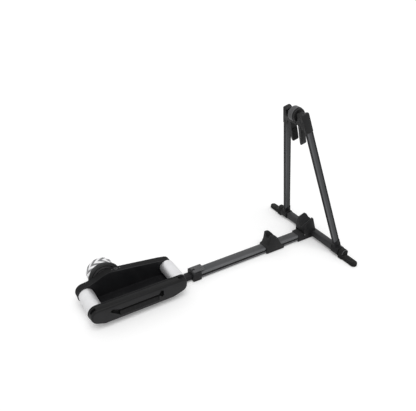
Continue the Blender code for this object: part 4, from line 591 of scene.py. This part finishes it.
def lathe(name, profile, steps, centre=(0, 0, 0), axis="Y"):
    """A turned body: a closed profile of (radius, place along the axis) swept round the axis
    through centre. For Y, x = r cos a, z = r sin a and y = along, and likewise for Z."""
    angle = np.linspace(0, 2 * math.pi, steps, endpoint=False)
    radius, along = np.array(profile, float).T[..., None]
    first = radius * np.cos(angle)
    second = radius * np.sin(angle)
    order = {"Y": (first, along, second), "Z": (first, second, along)}[axis]
    return skin(name, points(*order) + np.array(centre, float), wrap_rows=True, wrap_columns=True)


def washer(name, place, outward, size, material, body, within=Matrix()):
    """A flat turned ring with broken corners, its back sunk a little in what it lies on. Its size
    is its inner radius, outer radius and height."""
    inner, outer, height = size
    corner = min(WASHER_CORNER, height / 3)
    profile = [(inner, -WASHER_SUNK), (inner, height - corner), (inner + corner, height)]
    profile += [(outer - corner, height), (outer, height - corner), (outer, -WASHER_SUNK)]
    piece = lathe(name, profile, 40, axis="Z")
    piece.data.transform(within @ facing(place, outward))
    finish_piece(crisp(piece), material, body)


bezel_grey = coated(
    "bezel_grey", (0.045, 0.045, 0.047), (0.060, 0.060, 0.062), (0.34, 0.46), 1800.0, 0.0001, gloss=0.30,
)
lens_pale = coated(
    "lens_pale", (0.13, 0.13, 0.13), (0.18, 0.18, 0.18), (0.18, 0.26), 3000.0, 0.00002, gloss=0.5,
)
washer("key_bezel", KEY_PLACE, KEY_UP, BEZEL_SIZE, bezel_grey, "roller_unit")
key = lathe("push_key", KEY_PROFILE, 40, axis="Z")
key.data.transform(facing(KEY_PLACE, KEY_UP))
finish_piece(crisp(key), moulded_black, "roller_unit")
for number, place in enumerate(LENS_PLACES):
    lens = lathe(f"key_lens_{number + 1}", LENS_PROFILE, 32, axis="Z")
    lens.data.transform(facing(place, KEY_UP))
    finish_piece(crisp(lens), lens_pale, "roller_unit")

# Rollers: drawn aluminium tubes with turned end caps, spun on steel axles in flange bearings.
# Their faces are turned to fine rings, so that they grip. A drum end's outline runs from its
# sunk web to its rounded edge, as (distance in from the face, depth below the end).
DRUM_BORE = 0.0105
DRUM_FACE_INSET = 0.01
DRUM_END = (
    (0.0055, 0.0035), (0.0045, 0.0030), (0.0040, 0.0006), (0.0034, 0.0),
    (0.0012, 0.0), (0.0004, 0.0004), (0.0, 0.0012),
)


def make_turning_lines():
    """Fine rings round a turned piece: noise stretched along the axis, so that it only changes along Y."""
    group, given, result = shader_group("turning_lines", {"Rings": 700.0}, {"Rings": "Float"})
    place = group.nodes.new("ShaderNodeTexCoord").outputs["Object"]
    parts = add_node(group, "ShaderNodeSeparateXYZ", [(place, 0)])
    only_along = add_node(group, "ShaderNodeCombineXYZ", [(parts.outputs["Y"], 1)])
    group.links.new(noise(group, only_along.outputs[0], given["Rings"], 3.0), result["Rings"])
    return group


turning_lines = make_turning_lines()


def turned_metal(name, colour, rough, rings, depth, metallic=1.0):
    """Bare metal off the lathe, clouded by handling: its bump and roughness follow fine rings."""
    handled = [0.92 * part for part in colour]
    material = coated(
        name, handled, colour, rough, 260.0, depth, metallic=metallic, cloud=22.0, edge=0.0005,
    )
    tree = material.node_tree
    shader = tree.nodes["Principled BSDF"].inputs
    lines = add_node(tree, "ShaderNodeGroup", node_tree=turning_lines, Rings=rings).outputs["Rings"]
    relief = shader["Normal"].links[0].from_node.inputs
    relief["Strength"].default_value = 0.4
    dulled = shader["Roughness"].links[0].from_node.inputs
    dulled["From Min"].default_value = 0.3
    dulled["From Max"].default_value = 0.7
    tree.links.new(lines, relief["Height"])
    tree.links.new(lines, dulled["Value"])
    return material


roller_aluminium = turned_metal(
    "roller_aluminium", (0.78, 0.78, 0.79), (0.44, 0.54), 900.0, 0.00006, metallic=0.85,
)
bearing_steel = turned_metal("bearing_steel", (0.42, 0.42, 0.43), (0.22, 0.38), 1200.0, 0.00003)
for end in ("rear", "front"):
    low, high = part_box(end + "_drum")
    radius = (high.z - low.z) / 2
    half = high.y
    straight = half - DRUM_FACE_INSET
    rim = [(DRUM_BORE, half - DRUM_END[0][1])]
    rim += [(radius - inset, half - depth) for inset, depth in DRUM_END]
    profile = rim + [(radius, along) for along in np.linspace(straight, -straight, 9)]
    profile += [(reach, -along) for reach, along in reversed(rim)]
    axis_x, _, axis_z = joints[end + "_roller_spin"]["pos_m"]
    drum = crisp(lathe(end + "_roller", profile, 128, (axis_x, 0, axis_z)), 25)
    finish_piece(drum, roller_aluminium, end + "_roller")
    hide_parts(end + "_drum")
    dress(bearing_steel, "bright_steel", end + "_axle", end + "_bearing_left", end + "_bearing_right")

# Belt drive inside the left cover: ribbed rubber belts on turned aluminium pulleys, kept taut
# by a small wheel on a stud.
pulley_aluminium = turned_metal("pulley_metal", (0.62, 0.63, 0.64), (0.28, 0.42), 1000.0, 0.00004)
belt_rubber = coated(
    "belt_rubber", (0.012, 0.012, 0.012), (0.022, 0.022, 0.022), (0.60, 0.75), 1800.0, 0.0001,
)
dress(
    pulley_aluminium, "pulley_aluminium",
    "rear_pulley", "front_pulley", "flywheel_pulley", "tensioner_wheel",
)
dress(belt_rubber, "black_rubber", "roller_belt", "flywheel_belt")
dress(
    bearing_steel, "bright_steel",
    "tensioner_stud", "flywheel_bearing_inner", "flywheel_bearing_outer", "flywheel_shaft",
)

# Flywheel: a cast iron wheel turned all over and painted, held on the drive shaft by a circlip
# and five hub bolts, its rim printed with white chevrons that show its speed.
RIM_BACK = ((0.0155, 0.020), (0.0155, 0.0), (0.0025, 0.0), (0.0007, 0.0008))
RIM_CORNER = 0.0025
RIM_FRONT = ((0.0007, 0.0008), (0.0025, 0.0), (0.0095, 0.0), (0.0125, 0.0055))
HUB_FRONT = ((0.024, 0.0065), (0.019, 0.002), (0.017, 0.0010), (0.0092, 0.0010))
CHEVRONS = 10
CHEVRON_SWEEP = 0.78
TREAD_GREY = (0.19, 0.19, 0.195)
CHEVRON_WHITE = (0.86, 0.86, 0.87)
WHEEL_BOLTS = 5
BOLT_CIRCLE = 0.036
WHEEL_BOLT = (0.0050, 0.0030)
WHEEL_BOLT_DEPTH = 0.0060
CIRCLIP_SIZE = (0.0080, 0.0118, 0.0007)

low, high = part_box("flywheel")
wheel_x, _, wheel_z = joints["flywheel_spin"]["pos_m"]
rim_radius = (high.z - low.z) / 2
wheel_low = low.y
wheel_high = high.y


def wheel_profile():
    """Section of the flywheel, from the back of its rim over the tread to its hub, as (radius, y).
    The rim's outlines are (distance in from the tread, depth), and the hub's is (radius, depth)."""
    tread = np.linspace(wheel_low + RIM_CORNER, wheel_high - RIM_CORNER, 25)
    rows = [(rim_radius - inset, wheel_low + depth) for inset, depth in RIM_BACK]
    rows += [(rim_radius, along) for along in tread]
    rows += [(rim_radius - inset, wheel_high - depth) for inset, depth in RIM_FRONT]
    rows += [(radius, wheel_high - depth) for radius, depth in HUB_FRONT]
    return rows + [(HUB_FRONT[-1][0], wheel_low + RIM_BACK[0][1])]


def print_chevrons(material):
    """Chevrons on the tread: white where the angle in turns, led on by the distance from the
    tread's middle, is in one half of its pitch, over grey, and only as far out as the tread."""
    tree = material.node_tree
    base = tree.nodes["Principled BSDF"].inputs["Base Color"]
    place = tree.nodes.new("ShaderNodeTexCoord").outputs["Object"]
    middle = (-wheel_x, -(wheel_low + wheel_high) / 2, -wheel_z)
    centred = add_node(tree, "ShaderNodeMapping", [(place, "Vector")], Location=middle)
    parts = add_node(tree, "ShaderNodeSeparateXYZ", [(centred.outputs[0], 0)]).outputs
    turn = maths(tree, "ARCTAN2", parts["Z"], parts["X"])
    turns = maths(tree, "MULTIPLY", turn, CHEVRONS / (2 * math.pi))
    sideways = maths(tree, "ABSOLUTE", parts["Y"])
    lag = maths(tree, "MULTIPLY", sideways, CHEVRON_SWEEP * 2 / (wheel_high - wheel_low))
    phase = maths(tree, "FRACT", maths(tree, "ADD", maths(tree, "ADD", turns, lag), 20.0))
    wave = maths(tree, "ABSOLUTE", maths(tree, "SUBTRACT", phase, 0.5))
    squares = [maths(tree, "POWER", parts[letter], 2.0) for letter in "XZ"]
    reach = maths(tree, "SQRT", maths(tree, "ADD", *squares))
    on_tread = ranged(tree, reach, rim_radius - 0.0006, rim_radius - 0.0003)
    white = maths(tree, "MULTIPLY", ranged(tree, wave, 0.235, 0.255), on_tread)
    tread = blended(tree, on_tread, base.links[0].from_socket, TREAD_GREY)
    tree.links.new(blended(tree, white, tread, CHEVRON_WHITE), base)


cast_iron = coated(
    "cast_iron_paint", (0.045, 0.045, 0.047), (0.065, 0.065, 0.067), (0.35, 0.50), 700.0, 0.0002,
    metallic=0.3,
)
print_chevrons(cast_iron)
flywheel = crisp(lathe("flywheel_rotor_wheel", wheel_profile(), 160, (wheel_x, 0, wheel_z)), 30)
finish_piece(flywheel, cast_iron, "flywheel_rotor")
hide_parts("flywheel")
for number in range(WHEEL_BOLTS):
    angle = math.radians(90 + 360 / WHEEL_BOLTS * number)
    bolt_x = wheel_x + BOLT_CIRCLE * math.cos(angle)
    bolt_z = wheel_z + BOLT_CIRCLE * math.sin(angle)
    place = (bolt_x, wheel_high - WHEEL_BOLT_DEPTH, bolt_z)
    screw_head(f"flywheel_bolt_{number + 1}", place, (0, 1, 0), WHEEL_BOLT, blackened_screw, "flywheel_rotor")
place = (wheel_x, wheel_high - HUB_FRONT[-1][1], wheel_z)
washer("shaft_circlip", place, (0, 1, 0), CIRCLIP_SIZE, bearing_steel, "flywheel_rotor")

# Brake housing: a bell of black plastic moulded in three steps over the stator, with a rib round
# each step that sheds heat. A rib's outline is (rise over the bell, place along the axis).
STEP_DROP = 0.0075
RIB_PLACES = (0.0038, 0.0126, 0.0202)
RIB_OUTLINE = (
    (-0.0006, -0.0017), (0.0009, -0.0016), (0.0018, -0.0007),
    (0.0018, 0.0007), (0.0009, 0.0016), (-0.0006, 0.0017),
)

# Its corners are painted lighter, as a painted highlight along each edge.
brake_black = coated(
    "brake_black", (0.042, 0.042, 0.043), (0.054, 0.054, 0.055), (0.36, 0.46), 1300.0, 0.0002,
    gloss=0.22, edge_shading_and_wear=(0.100, 0.100, 0.102), edge=0.0016,
)
dress(brake_black, "black_plastic", "brake_housing")
housing_low, housing_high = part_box("brake_housing")
bell_radius = (housing_high.z - housing_low.z) / 2
for step, place in enumerate(RIB_PLACES):
    radius = bell_radius - STEP_DROP * step
    profile = [(radius + rise, housing_low.y + place + along) for rise, along in RIB_OUTLINE]
    rib = crisp(lathe(f"brake_rib_{step + 1}", profile, 128, (wheel_x, 0, wheel_z)), 40)
    finish_piece(rib, brake_black, "roller_unit")

# Vent plate that closes the open side of the brake bell: pressed sheet with raised rings and a
# hole for the shaft, painted like the bell. Near-black rings laid in the valleys between its
# rings are painted shade.
PLATE_BACK = 0.1254
PLATE_FACE = 0.1236
PLATE_VALLEY = PLATE_FACE + 0.0012
PLATE_SHOULDER = 0.0005
PLATE_ROUND = 0.0006
PLATE_HOLE = 0.0140
RING_EDGES = (0.0824, 0.0700, 0.0650, 0.0530, 0.0480, 0.0360, 0.0310, 0.0180)
VALLEY_SHADE_HEIGHT = 0.0003

profile = [(PLATE_HOLE, PLATE_BACK), (RING_EDGES[0], PLATE_BACK)]
for outer, inner in zip(RING_EDGES[0::2], RING_EDGES[1::2]):
    shoulder = PLATE_FACE + PLATE_SHOULDER
    profile += [(outer, PLATE_VALLEY), (outer, shoulder), (outer - PLATE_ROUND, PLATE_FACE)]
    profile += [(inner + PLATE_ROUND, PLATE_FACE), (inner, shoulder), (inner, PLATE_VALLEY)]
profile += [(PLATE_HOLE, PLATE_VALLEY)]
vent_plate = crisp(lathe("brake_vent_plate", profile, 128, (wheel_x, 0, wheel_z)), 24)
finish_piece(vent_plate, brake_black, "roller_unit")
# Near-black rings in the valleys: painted shade between the plate's rings.
valley_shade_black = coated(
    "valley_shade_black", (0.004, 0.004, 0.004), (0.006, 0.006, 0.006), (0.5, 0.6), 1300.0, 0.0001, gloss=0.05,
)
place = (wheel_x, PLATE_VALLEY, wheel_z)
for number, (inner, outer) in enumerate(zip(RING_EDGES[2:7:2], RING_EDGES[1:6:2])):
    size = (inner, outer, VALLEY_SHADE_HEIGHT)
    washer(f"vent_valley_shade_{number + 1}", place, (0, -1, 0), size, valley_shade_black, "roller_unit")

# Stator and control board inside the brake: copper wound on laminated poles, and a coated
# circuit board beside it that sets the resistance.
copper_winding = turned_metal("copper_winding", (0.62, 0.31, 0.16), (0.35, 0.50), 1500.0, 0.0002)
dress(copper_winding, "stator_windings", "brake_stator")
circuit_green = coated(
    "circuit_green", (0.010, 0.060, 0.028), (0.014, 0.085, 0.040), (0.35, 0.45), 1200.0, 0.00005,
    cloud=90.0,
)
dress(circuit_green, "board_green", "control_board")

# Beam and cross tube: extruded aluminium, sawn to length and anodised dark grey. A black rubber
# strip is pressed into the groove that runs down each side of the beam.
GROOVE_HEIGHTS = (0.0108, 0.0278)
GROOVE_LIP = 0.0014
INLAY_SUNK = 0.0003
INLAY_CROWN = 0.0002
INLAY_ROUND = 0.0006
INLAY_GAP = 0.0006

# Its corners are painted lighter, as a painted highlight along each edge.
anodised_grey = coated(
    "anodised_grey", (0.056, 0.057, 0.060), (0.066, 0.067, 0.070), (0.36, 0.46), 1400.0, 0.00006,
    gloss=0.26, edge_shading_and_wear=(0.210, 0.211, 0.215), edge=0.0060,
)
# Painted highlight: the beam's grey is painted lighter towards both top edges and on its sides.
paint_light_bands(anodised_grey, "Y", [(0.0, 0.95), (0.015, 1.0), (0.0235, 1.35), (0.0262, 1.9)])
dress(anodised_grey, "anodised_grey", "beam")
# Its corners are painted lighter, as a painted highlight along each edge.
dark_anodised = coated(
    "dark_anodised", (0.036, 0.036, 0.038), (0.044, 0.044, 0.046), (0.36, 0.46), 1400.0, 0.00006,
    gloss=0.15, edge_shading_and_wear=(0.060, 0.060, 0.062), edge=0.0030,
)
dress(dark_anodised, "anodised_grey", "cross_tube")
beam_low, beam_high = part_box("beam")
collar_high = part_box("clamp_collar")[1]
block_low, block_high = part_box("front_block")
bottom, top = (beam_low.z + height for height in GROOVE_HEIGHTS)
face = beam_high.y - INLAY_SUNK
across, up = np.array([
    (face - GROOVE_LIP, bottom + GROOVE_LIP), (face, bottom), (face + INLAY_CROWN, bottom + INLAY_ROUND),
    (face + INLAY_CROWN, top - INLAY_ROUND), (face, top), (face - GROOVE_LIP, top - GROOVE_LIP),
]).T
along = np.linspace(collar_high.x + INLAY_GAP, block_low.x - INLAY_GAP, 60)[:, None]
for side, word in SIDES:
    rail = crisp(loft("beam_rail_" + word, points(along, side * across, up)), 20)
    finish_piece(rail, sole_rubber, "front_base")

# Clamp on the beam's mouth: a moulded collar, screwed on from both sides. Its grey cam lever, with
# ribs for the fingers, swings on a steel pin and squeezes the beam on the slide tube.
LEVER_RIBS = 4
LEVER_RIB_PITCH = 0.0045
LEVER_RIB_RADIUS = 0.0008
LEVER_RIB_HALF = 0.019
LEVER_RIB_SUNK = 0.0001
LEVER_END_GAP = 0.008
COLLAR_SCREW = (0.0034, 0.0012)
COLLAR_SCREW_FORWARD = 0.030
COLLAR_SCREW_HEIGHT = 0.026

# Its corners are painted lighter, as a painted highlight along each edge.
moulded_grey = coated(
    "moulded_grey", (0.072, 0.072, 0.075), (0.088, 0.088, 0.091), (0.40, 0.52), 1300.0, 0.0002,
    gloss=0.24, edge_shading_and_wear=(0.230, 0.230, 0.235), edge=0.0030,
)
dress(moulded_black, "black_plastic", "clamp_collar")
dress(bearing_steel, "bright_steel", "clamp_pin")
dress(moulded_grey, "grey_plastic", "clamp_lever")
lever_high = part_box("clamp_lever")[1]
across = np.linspace(-LEVER_RIB_HALF, LEVER_RIB_HALF, 24)
for number in range(LEVER_RIBS):
    forward = lever_high.x - LEVER_END_GAP - LEVER_RIB_PITCH * number
    path = points(forward, across, lever_high.z - LEVER_RIB_SUNK)
    rib = crisp(tube(f"lever_rib_{number + 1}", path, LEVER_RIB_RADIUS, (0, 0, 1), 10), 50)
    finish_piece(rib, moulded_grey, "lever")
collar_screw_x = joints["lever_hinge"]["pos_m"][0] + COLLAR_SCREW_FORWARD
for side, word in SIDES:
    place = (collar_screw_x, side * collar_high.y, COLLAR_SCREW_HEIGHT)
    screw_head("collar_screw_" + word, place, (0, side, 0), COLLAR_SCREW, blackened_screw, "front_base")

# Wheel chock, front block and wheel cradle: moulded black plastic. The block is screwed on from
# both sides where the beam meets the cross tube, and the sliding chock has two screws a side.
BLOCK_SCREW = (0.0040, 0.0016)
BLOCK_SCREW_PLACE = (0.6455, 0.0412)
CHOCK_SCREW = (0.0030, 0.0010)
CHOCK_SCREWS_FORWARD = (("rear", 0.022), ("front", 0.108))
CHOCK_SCREW_HEIGHT = 0.012

dress(moulded_black, "black_plastic", "wheel_chock", "front_block", "wheel_cradle")
zinc_screw = turned_metal("zinc_screw", (0.50, 0.50, 0.49), (0.24, 0.36), 2400.0, 0.00002)
chock_low, chock_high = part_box("wheel_chock")
for side, word in SIDES:
    outward = (0, side, 0)
    place = (BLOCK_SCREW_PLACE[0], side * block_high.y, BLOCK_SCREW_PLACE[1])
    screw_head("block_screw_" + word, place, outward, BLOCK_SCREW, zinc_screw, "front_base")
    for end, forward in CHOCK_SCREWS_FORWARD:
        place = (chock_low.x + forward, side * chock_high.y, CHOCK_SCREW_HEIGHT)
        screw_head(f"chock_screw_{end}_{word}", place, outward, CHOCK_SCREW, blackened_screw, "chock")

# Stabiliser feet and knuckles: rubber shoes on the pivot pins, each with a grey rim over its round
# top, and steel knuckles that turn between the shoes and the cross tube, each with a leg screw.
LEAN = math.radians(13.6)
FOOT_TOP = 0.062
FOOT_HALF_WIDTH = 0.024
FOOT_OUTER = 0.3035
FOOT_RIM_INSET = 0.0016
FOOT_RIM_RADIUS = 0.0013
LEG_SPREAD = math.radians(11.303)
LEG_FOOT_HALF = 0.240
KNUCKLE_SCREW = (0.0042, 0.0020)
KNUCKLE_SCREW_UP = 0.047
KNUCKLE_FACE = -0.0207

dress(bearing_steel, "bright_steel", "left_pivot_pin", "right_pivot_pin")
dress(sole_rubber, "black_rubber", "left_stabiliser", "right_stabiliser")
dress(black_powder_coat, "black_steel", "left_knuckle", "right_knuckle")
stand_axis = Vector(joints["stand_fold"]["pos_m"])
on_stand = Matrix.Translation(stand_axis) @ Matrix.Rotation(-LEAN, 4, "Y")
angle = np.radians(np.linspace(-4, 184, 60))
reach = FOOT_HALF_WIDTH - FOOT_RIM_INSET
rim_x = stand_axis.x + reach * np.cos(angle)
rim_z = FOOT_TOP - FOOT_HALF_WIDTH + reach * np.sin(angle)
knuckle_screw_y = LEG_FOOT_HALF - KNUCKLE_SCREW_UP * math.tan(LEG_SPREAD)
for side, word in SIDES:
    rim = points(rim_x, side * FOOT_OUTER, rim_z)
    bead = crisp(tube("foot_rim_" + word, rim, FOOT_RIM_RADIUS, (0, 1, 0), 10), 50)
    finish_piece(bead, moulded_grey, "front_base")
    place = (KNUCKLE_FACE, side * knuckle_screw_y, KNUCKLE_SCREW_UP)
    screw_head("knuckle_screw_" + word, place, (-1, 0, 0), KNUCKLE_SCREW, blackened_screw, "stand", on_stand)

# Legs: flat-sided aluminium tubes, anodised as the beam is, pushed into the knuckles below and
# the head above. Their grey is painted in bands across them, painted light near the rear edge and
# painted shade at both edges, and their corners are painted darker as painted shade.
LEG_LIGHT_AND_SHADE = [
    (-0.0180, 0.20), (-0.0165, 1.75), (-0.0095, 1.60), (-0.0050, 1.00), (0.0070, 0.92), (0.0120, 0.25),
]

leg_grey = coated(
    "leg_grey", (0.060, 0.061, 0.064), (0.070, 0.071, 0.074), (0.36, 0.46), 1400.0, 0.00006,
    gloss=0.12, edge_shading_and_wear=(0.012, 0.012, 0.013), edge=0.0062,
)
# Painted light and shade across each leg, in the bands above.
paint_light_bands(leg_grey, "X", LEG_LIGHT_AND_SHADE, tuple(stand_axis), (0, -LEAN, 0))
dress(leg_grey, "anodised_grey", "left_leg", "right_leg")

# Head: a moulded yoke and cover that cap both legs and carry the jaws, the adjusting drum and its
# grey ring. The steel screw that the drum turns is cut with a right-hand and a left-hand thread.
SCREW_RADIUS = 0.006
SCREW_CLEARANCE = 0.0001
SCREW_REACH = 0.0612
SCREW_CHAMFER = 0.0006
THREAD_PITCH = 0.005
THREAD_DEPTH = 0.0008
THREAD_FLAT = 0.6
THREAD_START = 0.0255
THREAD_END = SCREW_REACH - 0.005
THREAD_RUN_IN = 0.003
THREAD_RUN_OUT = 0.002

dress(
    moulded_black, "black_plastic",
    "head_yoke", "head_cover", "left_jaw", "right_jaw", "adjusting_drum",
)
dress(bearing_steel, "bright_steel", "guide_rod")
dress(moulded_grey, "grey_plastic", "flange_ring")
screw_x, screw_y, screw_z = joints["screw_turn"]["pos_m"]
# The screw's radius drops by the thread's depth times a triangle wave with cut tips, whose place is
# the distance from the middle in pitches less the angle in turns, so its halves turn opposite ways.
along = np.linspace(-SCREW_REACH, SCREW_REACH, 393)[:, None]
angle = np.linspace(0, 2 * math.pi, 24, endpoint=False)
from_middle = np.abs(along)
turned_by = from_middle / THREAD_PITCH - angle / (2 * math.pi)
flank = np.clip(np.abs(turned_by % 1.0 - 0.5) * 4 - 1, -THREAD_FLAT, THREAD_FLAT) / (2 * THREAD_FLAT) + 0.5
run_in = np.clip((from_middle - THREAD_START) / THREAD_RUN_IN, 0, 1)
run_out = np.clip((THREAD_END - from_middle) / THREAD_RUN_OUT, 0, 1)
chamfer = np.clip(from_middle - SCREW_REACH + SCREW_CHAMFER, 0, SCREW_CHAMFER)
radius = SCREW_RADIUS - SCREW_CLEARANCE - THREAD_DEPTH * flank * run_in * run_out - chamfer
grid = points(screw_x + radius * np.cos(angle), screw_y + along, screw_z + radius * np.sin(angle))
thread_steel = turned_metal("thread_steel", (0.46, 0.46, 0.47), (0.20, 0.34), 1600.0, 0.00002)
lead_screw = crisp(loft("double_thread_screw", grid), 40)
finish_piece(lead_screw, thread_steel, "clamp_drum")
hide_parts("lead_screw")

# Nut bushes and thrust washers on the screw: a bronze bush pressed into the inner face of each
# jaw's nut, and a steel washer inside each arm of the head that takes the screw's thrust.
NUT_FACE = 0.0400
NUT_SIZE = (0.0063, 0.0098, 0.0006)
THRUST_FACE = 0.0585
THRUST_SIZE = (0.0063, 0.0105, 0.0009)

bushing_bronze = turned_metal("bushing_bronze", (0.50, 0.34, 0.16), (0.26, 0.38), 1500.0, 0.00002)
for side, word in SIDES:
    inward = (0, -side, 0)
    place = (screw_x, side * NUT_FACE, screw_z)
    washer("nut_bush_" + word, place, inward, NUT_SIZE, bushing_bronze, "jaw_" + word)
    place = (screw_x, side * THRUST_FACE, screw_z)
    washer("thrust_washer_" + word, place, inward, THRUST_SIZE, bearing_steel, "stand")

# Jaw pads: blocks of ribbed rubber glued to the inner faces of the jaws, between which the stand
# grips. They are made upright over the stand's axis, and then lean with it.
PAD_BOTTOM = 0.655
PAD_TOP = 0.729
PAD_HALF = 0.018
PAD_CORNER = 0.008
PAD_INNER = 0.0265
PAD_OUTER = 0.0297
PAD_INNER_BREAK = 0.0006
PAD_OUTER_BREAK = 0.0004
PAD_GROOVES = 11
GROOVE_CUT = 0.0009

# A pad's half width at a height follows a quarter circle over each corner. Its inner face steps
# back by the groove's depth wherever its height in pitches is near a whole number.
corner = np.radians(np.linspace(0, 90, 9))
straight = np.linspace(PAD_BOTTOM + PAD_CORNER + 0.0005, PAD_TOP - PAD_CORNER - 0.0005, 150)
up = np.concatenate((
    PAD_BOTTOM + PAD_CORNER * (1 - np.cos(corner)), straight, PAD_TOP - PAD_CORNER * (1 - np.sin(corner)),
))[:, None]
near_end = np.clip(PAD_CORNER - np.minimum(up - PAD_BOTTOM, PAD_TOP - up), 0, PAD_CORNER)
half = PAD_HALF - PAD_CORNER + np.sqrt(np.maximum(PAD_CORNER ** 2 - near_end ** 2, 1e-8))
share = (up - PAD_BOTTOM) / (PAD_TOP - PAD_BOTTOM) * PAD_GROOVES
cut = GROOVE_CUT * np.clip((np.abs(share % 1.0 - 0.5) - 0.30) / 0.10, 0, 1) * (near_end <= 0)
at_edges = np.array([1, 0, 0, 1])
inner = PAD_INNER + PAD_INNER_BREAK * at_edges + cut
outer = PAD_OUTER - PAD_OUTER_BREAK * at_edges + 0 * cut
width = half * np.array([-1, -0.97, 0.97, 1, 1, 0.97, -0.97, -1])
for side, word in SIDES:
    pad = loft(f"{word}_ribbed_pad", points(width, side * np.concatenate((inner, outer), axis=1), up))
    pad.data.transform(on_stand)
    finish_piece(crisp(pad, 25), sole_rubber, "jaw_" + word)
    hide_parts(word + "_jaw_pad")
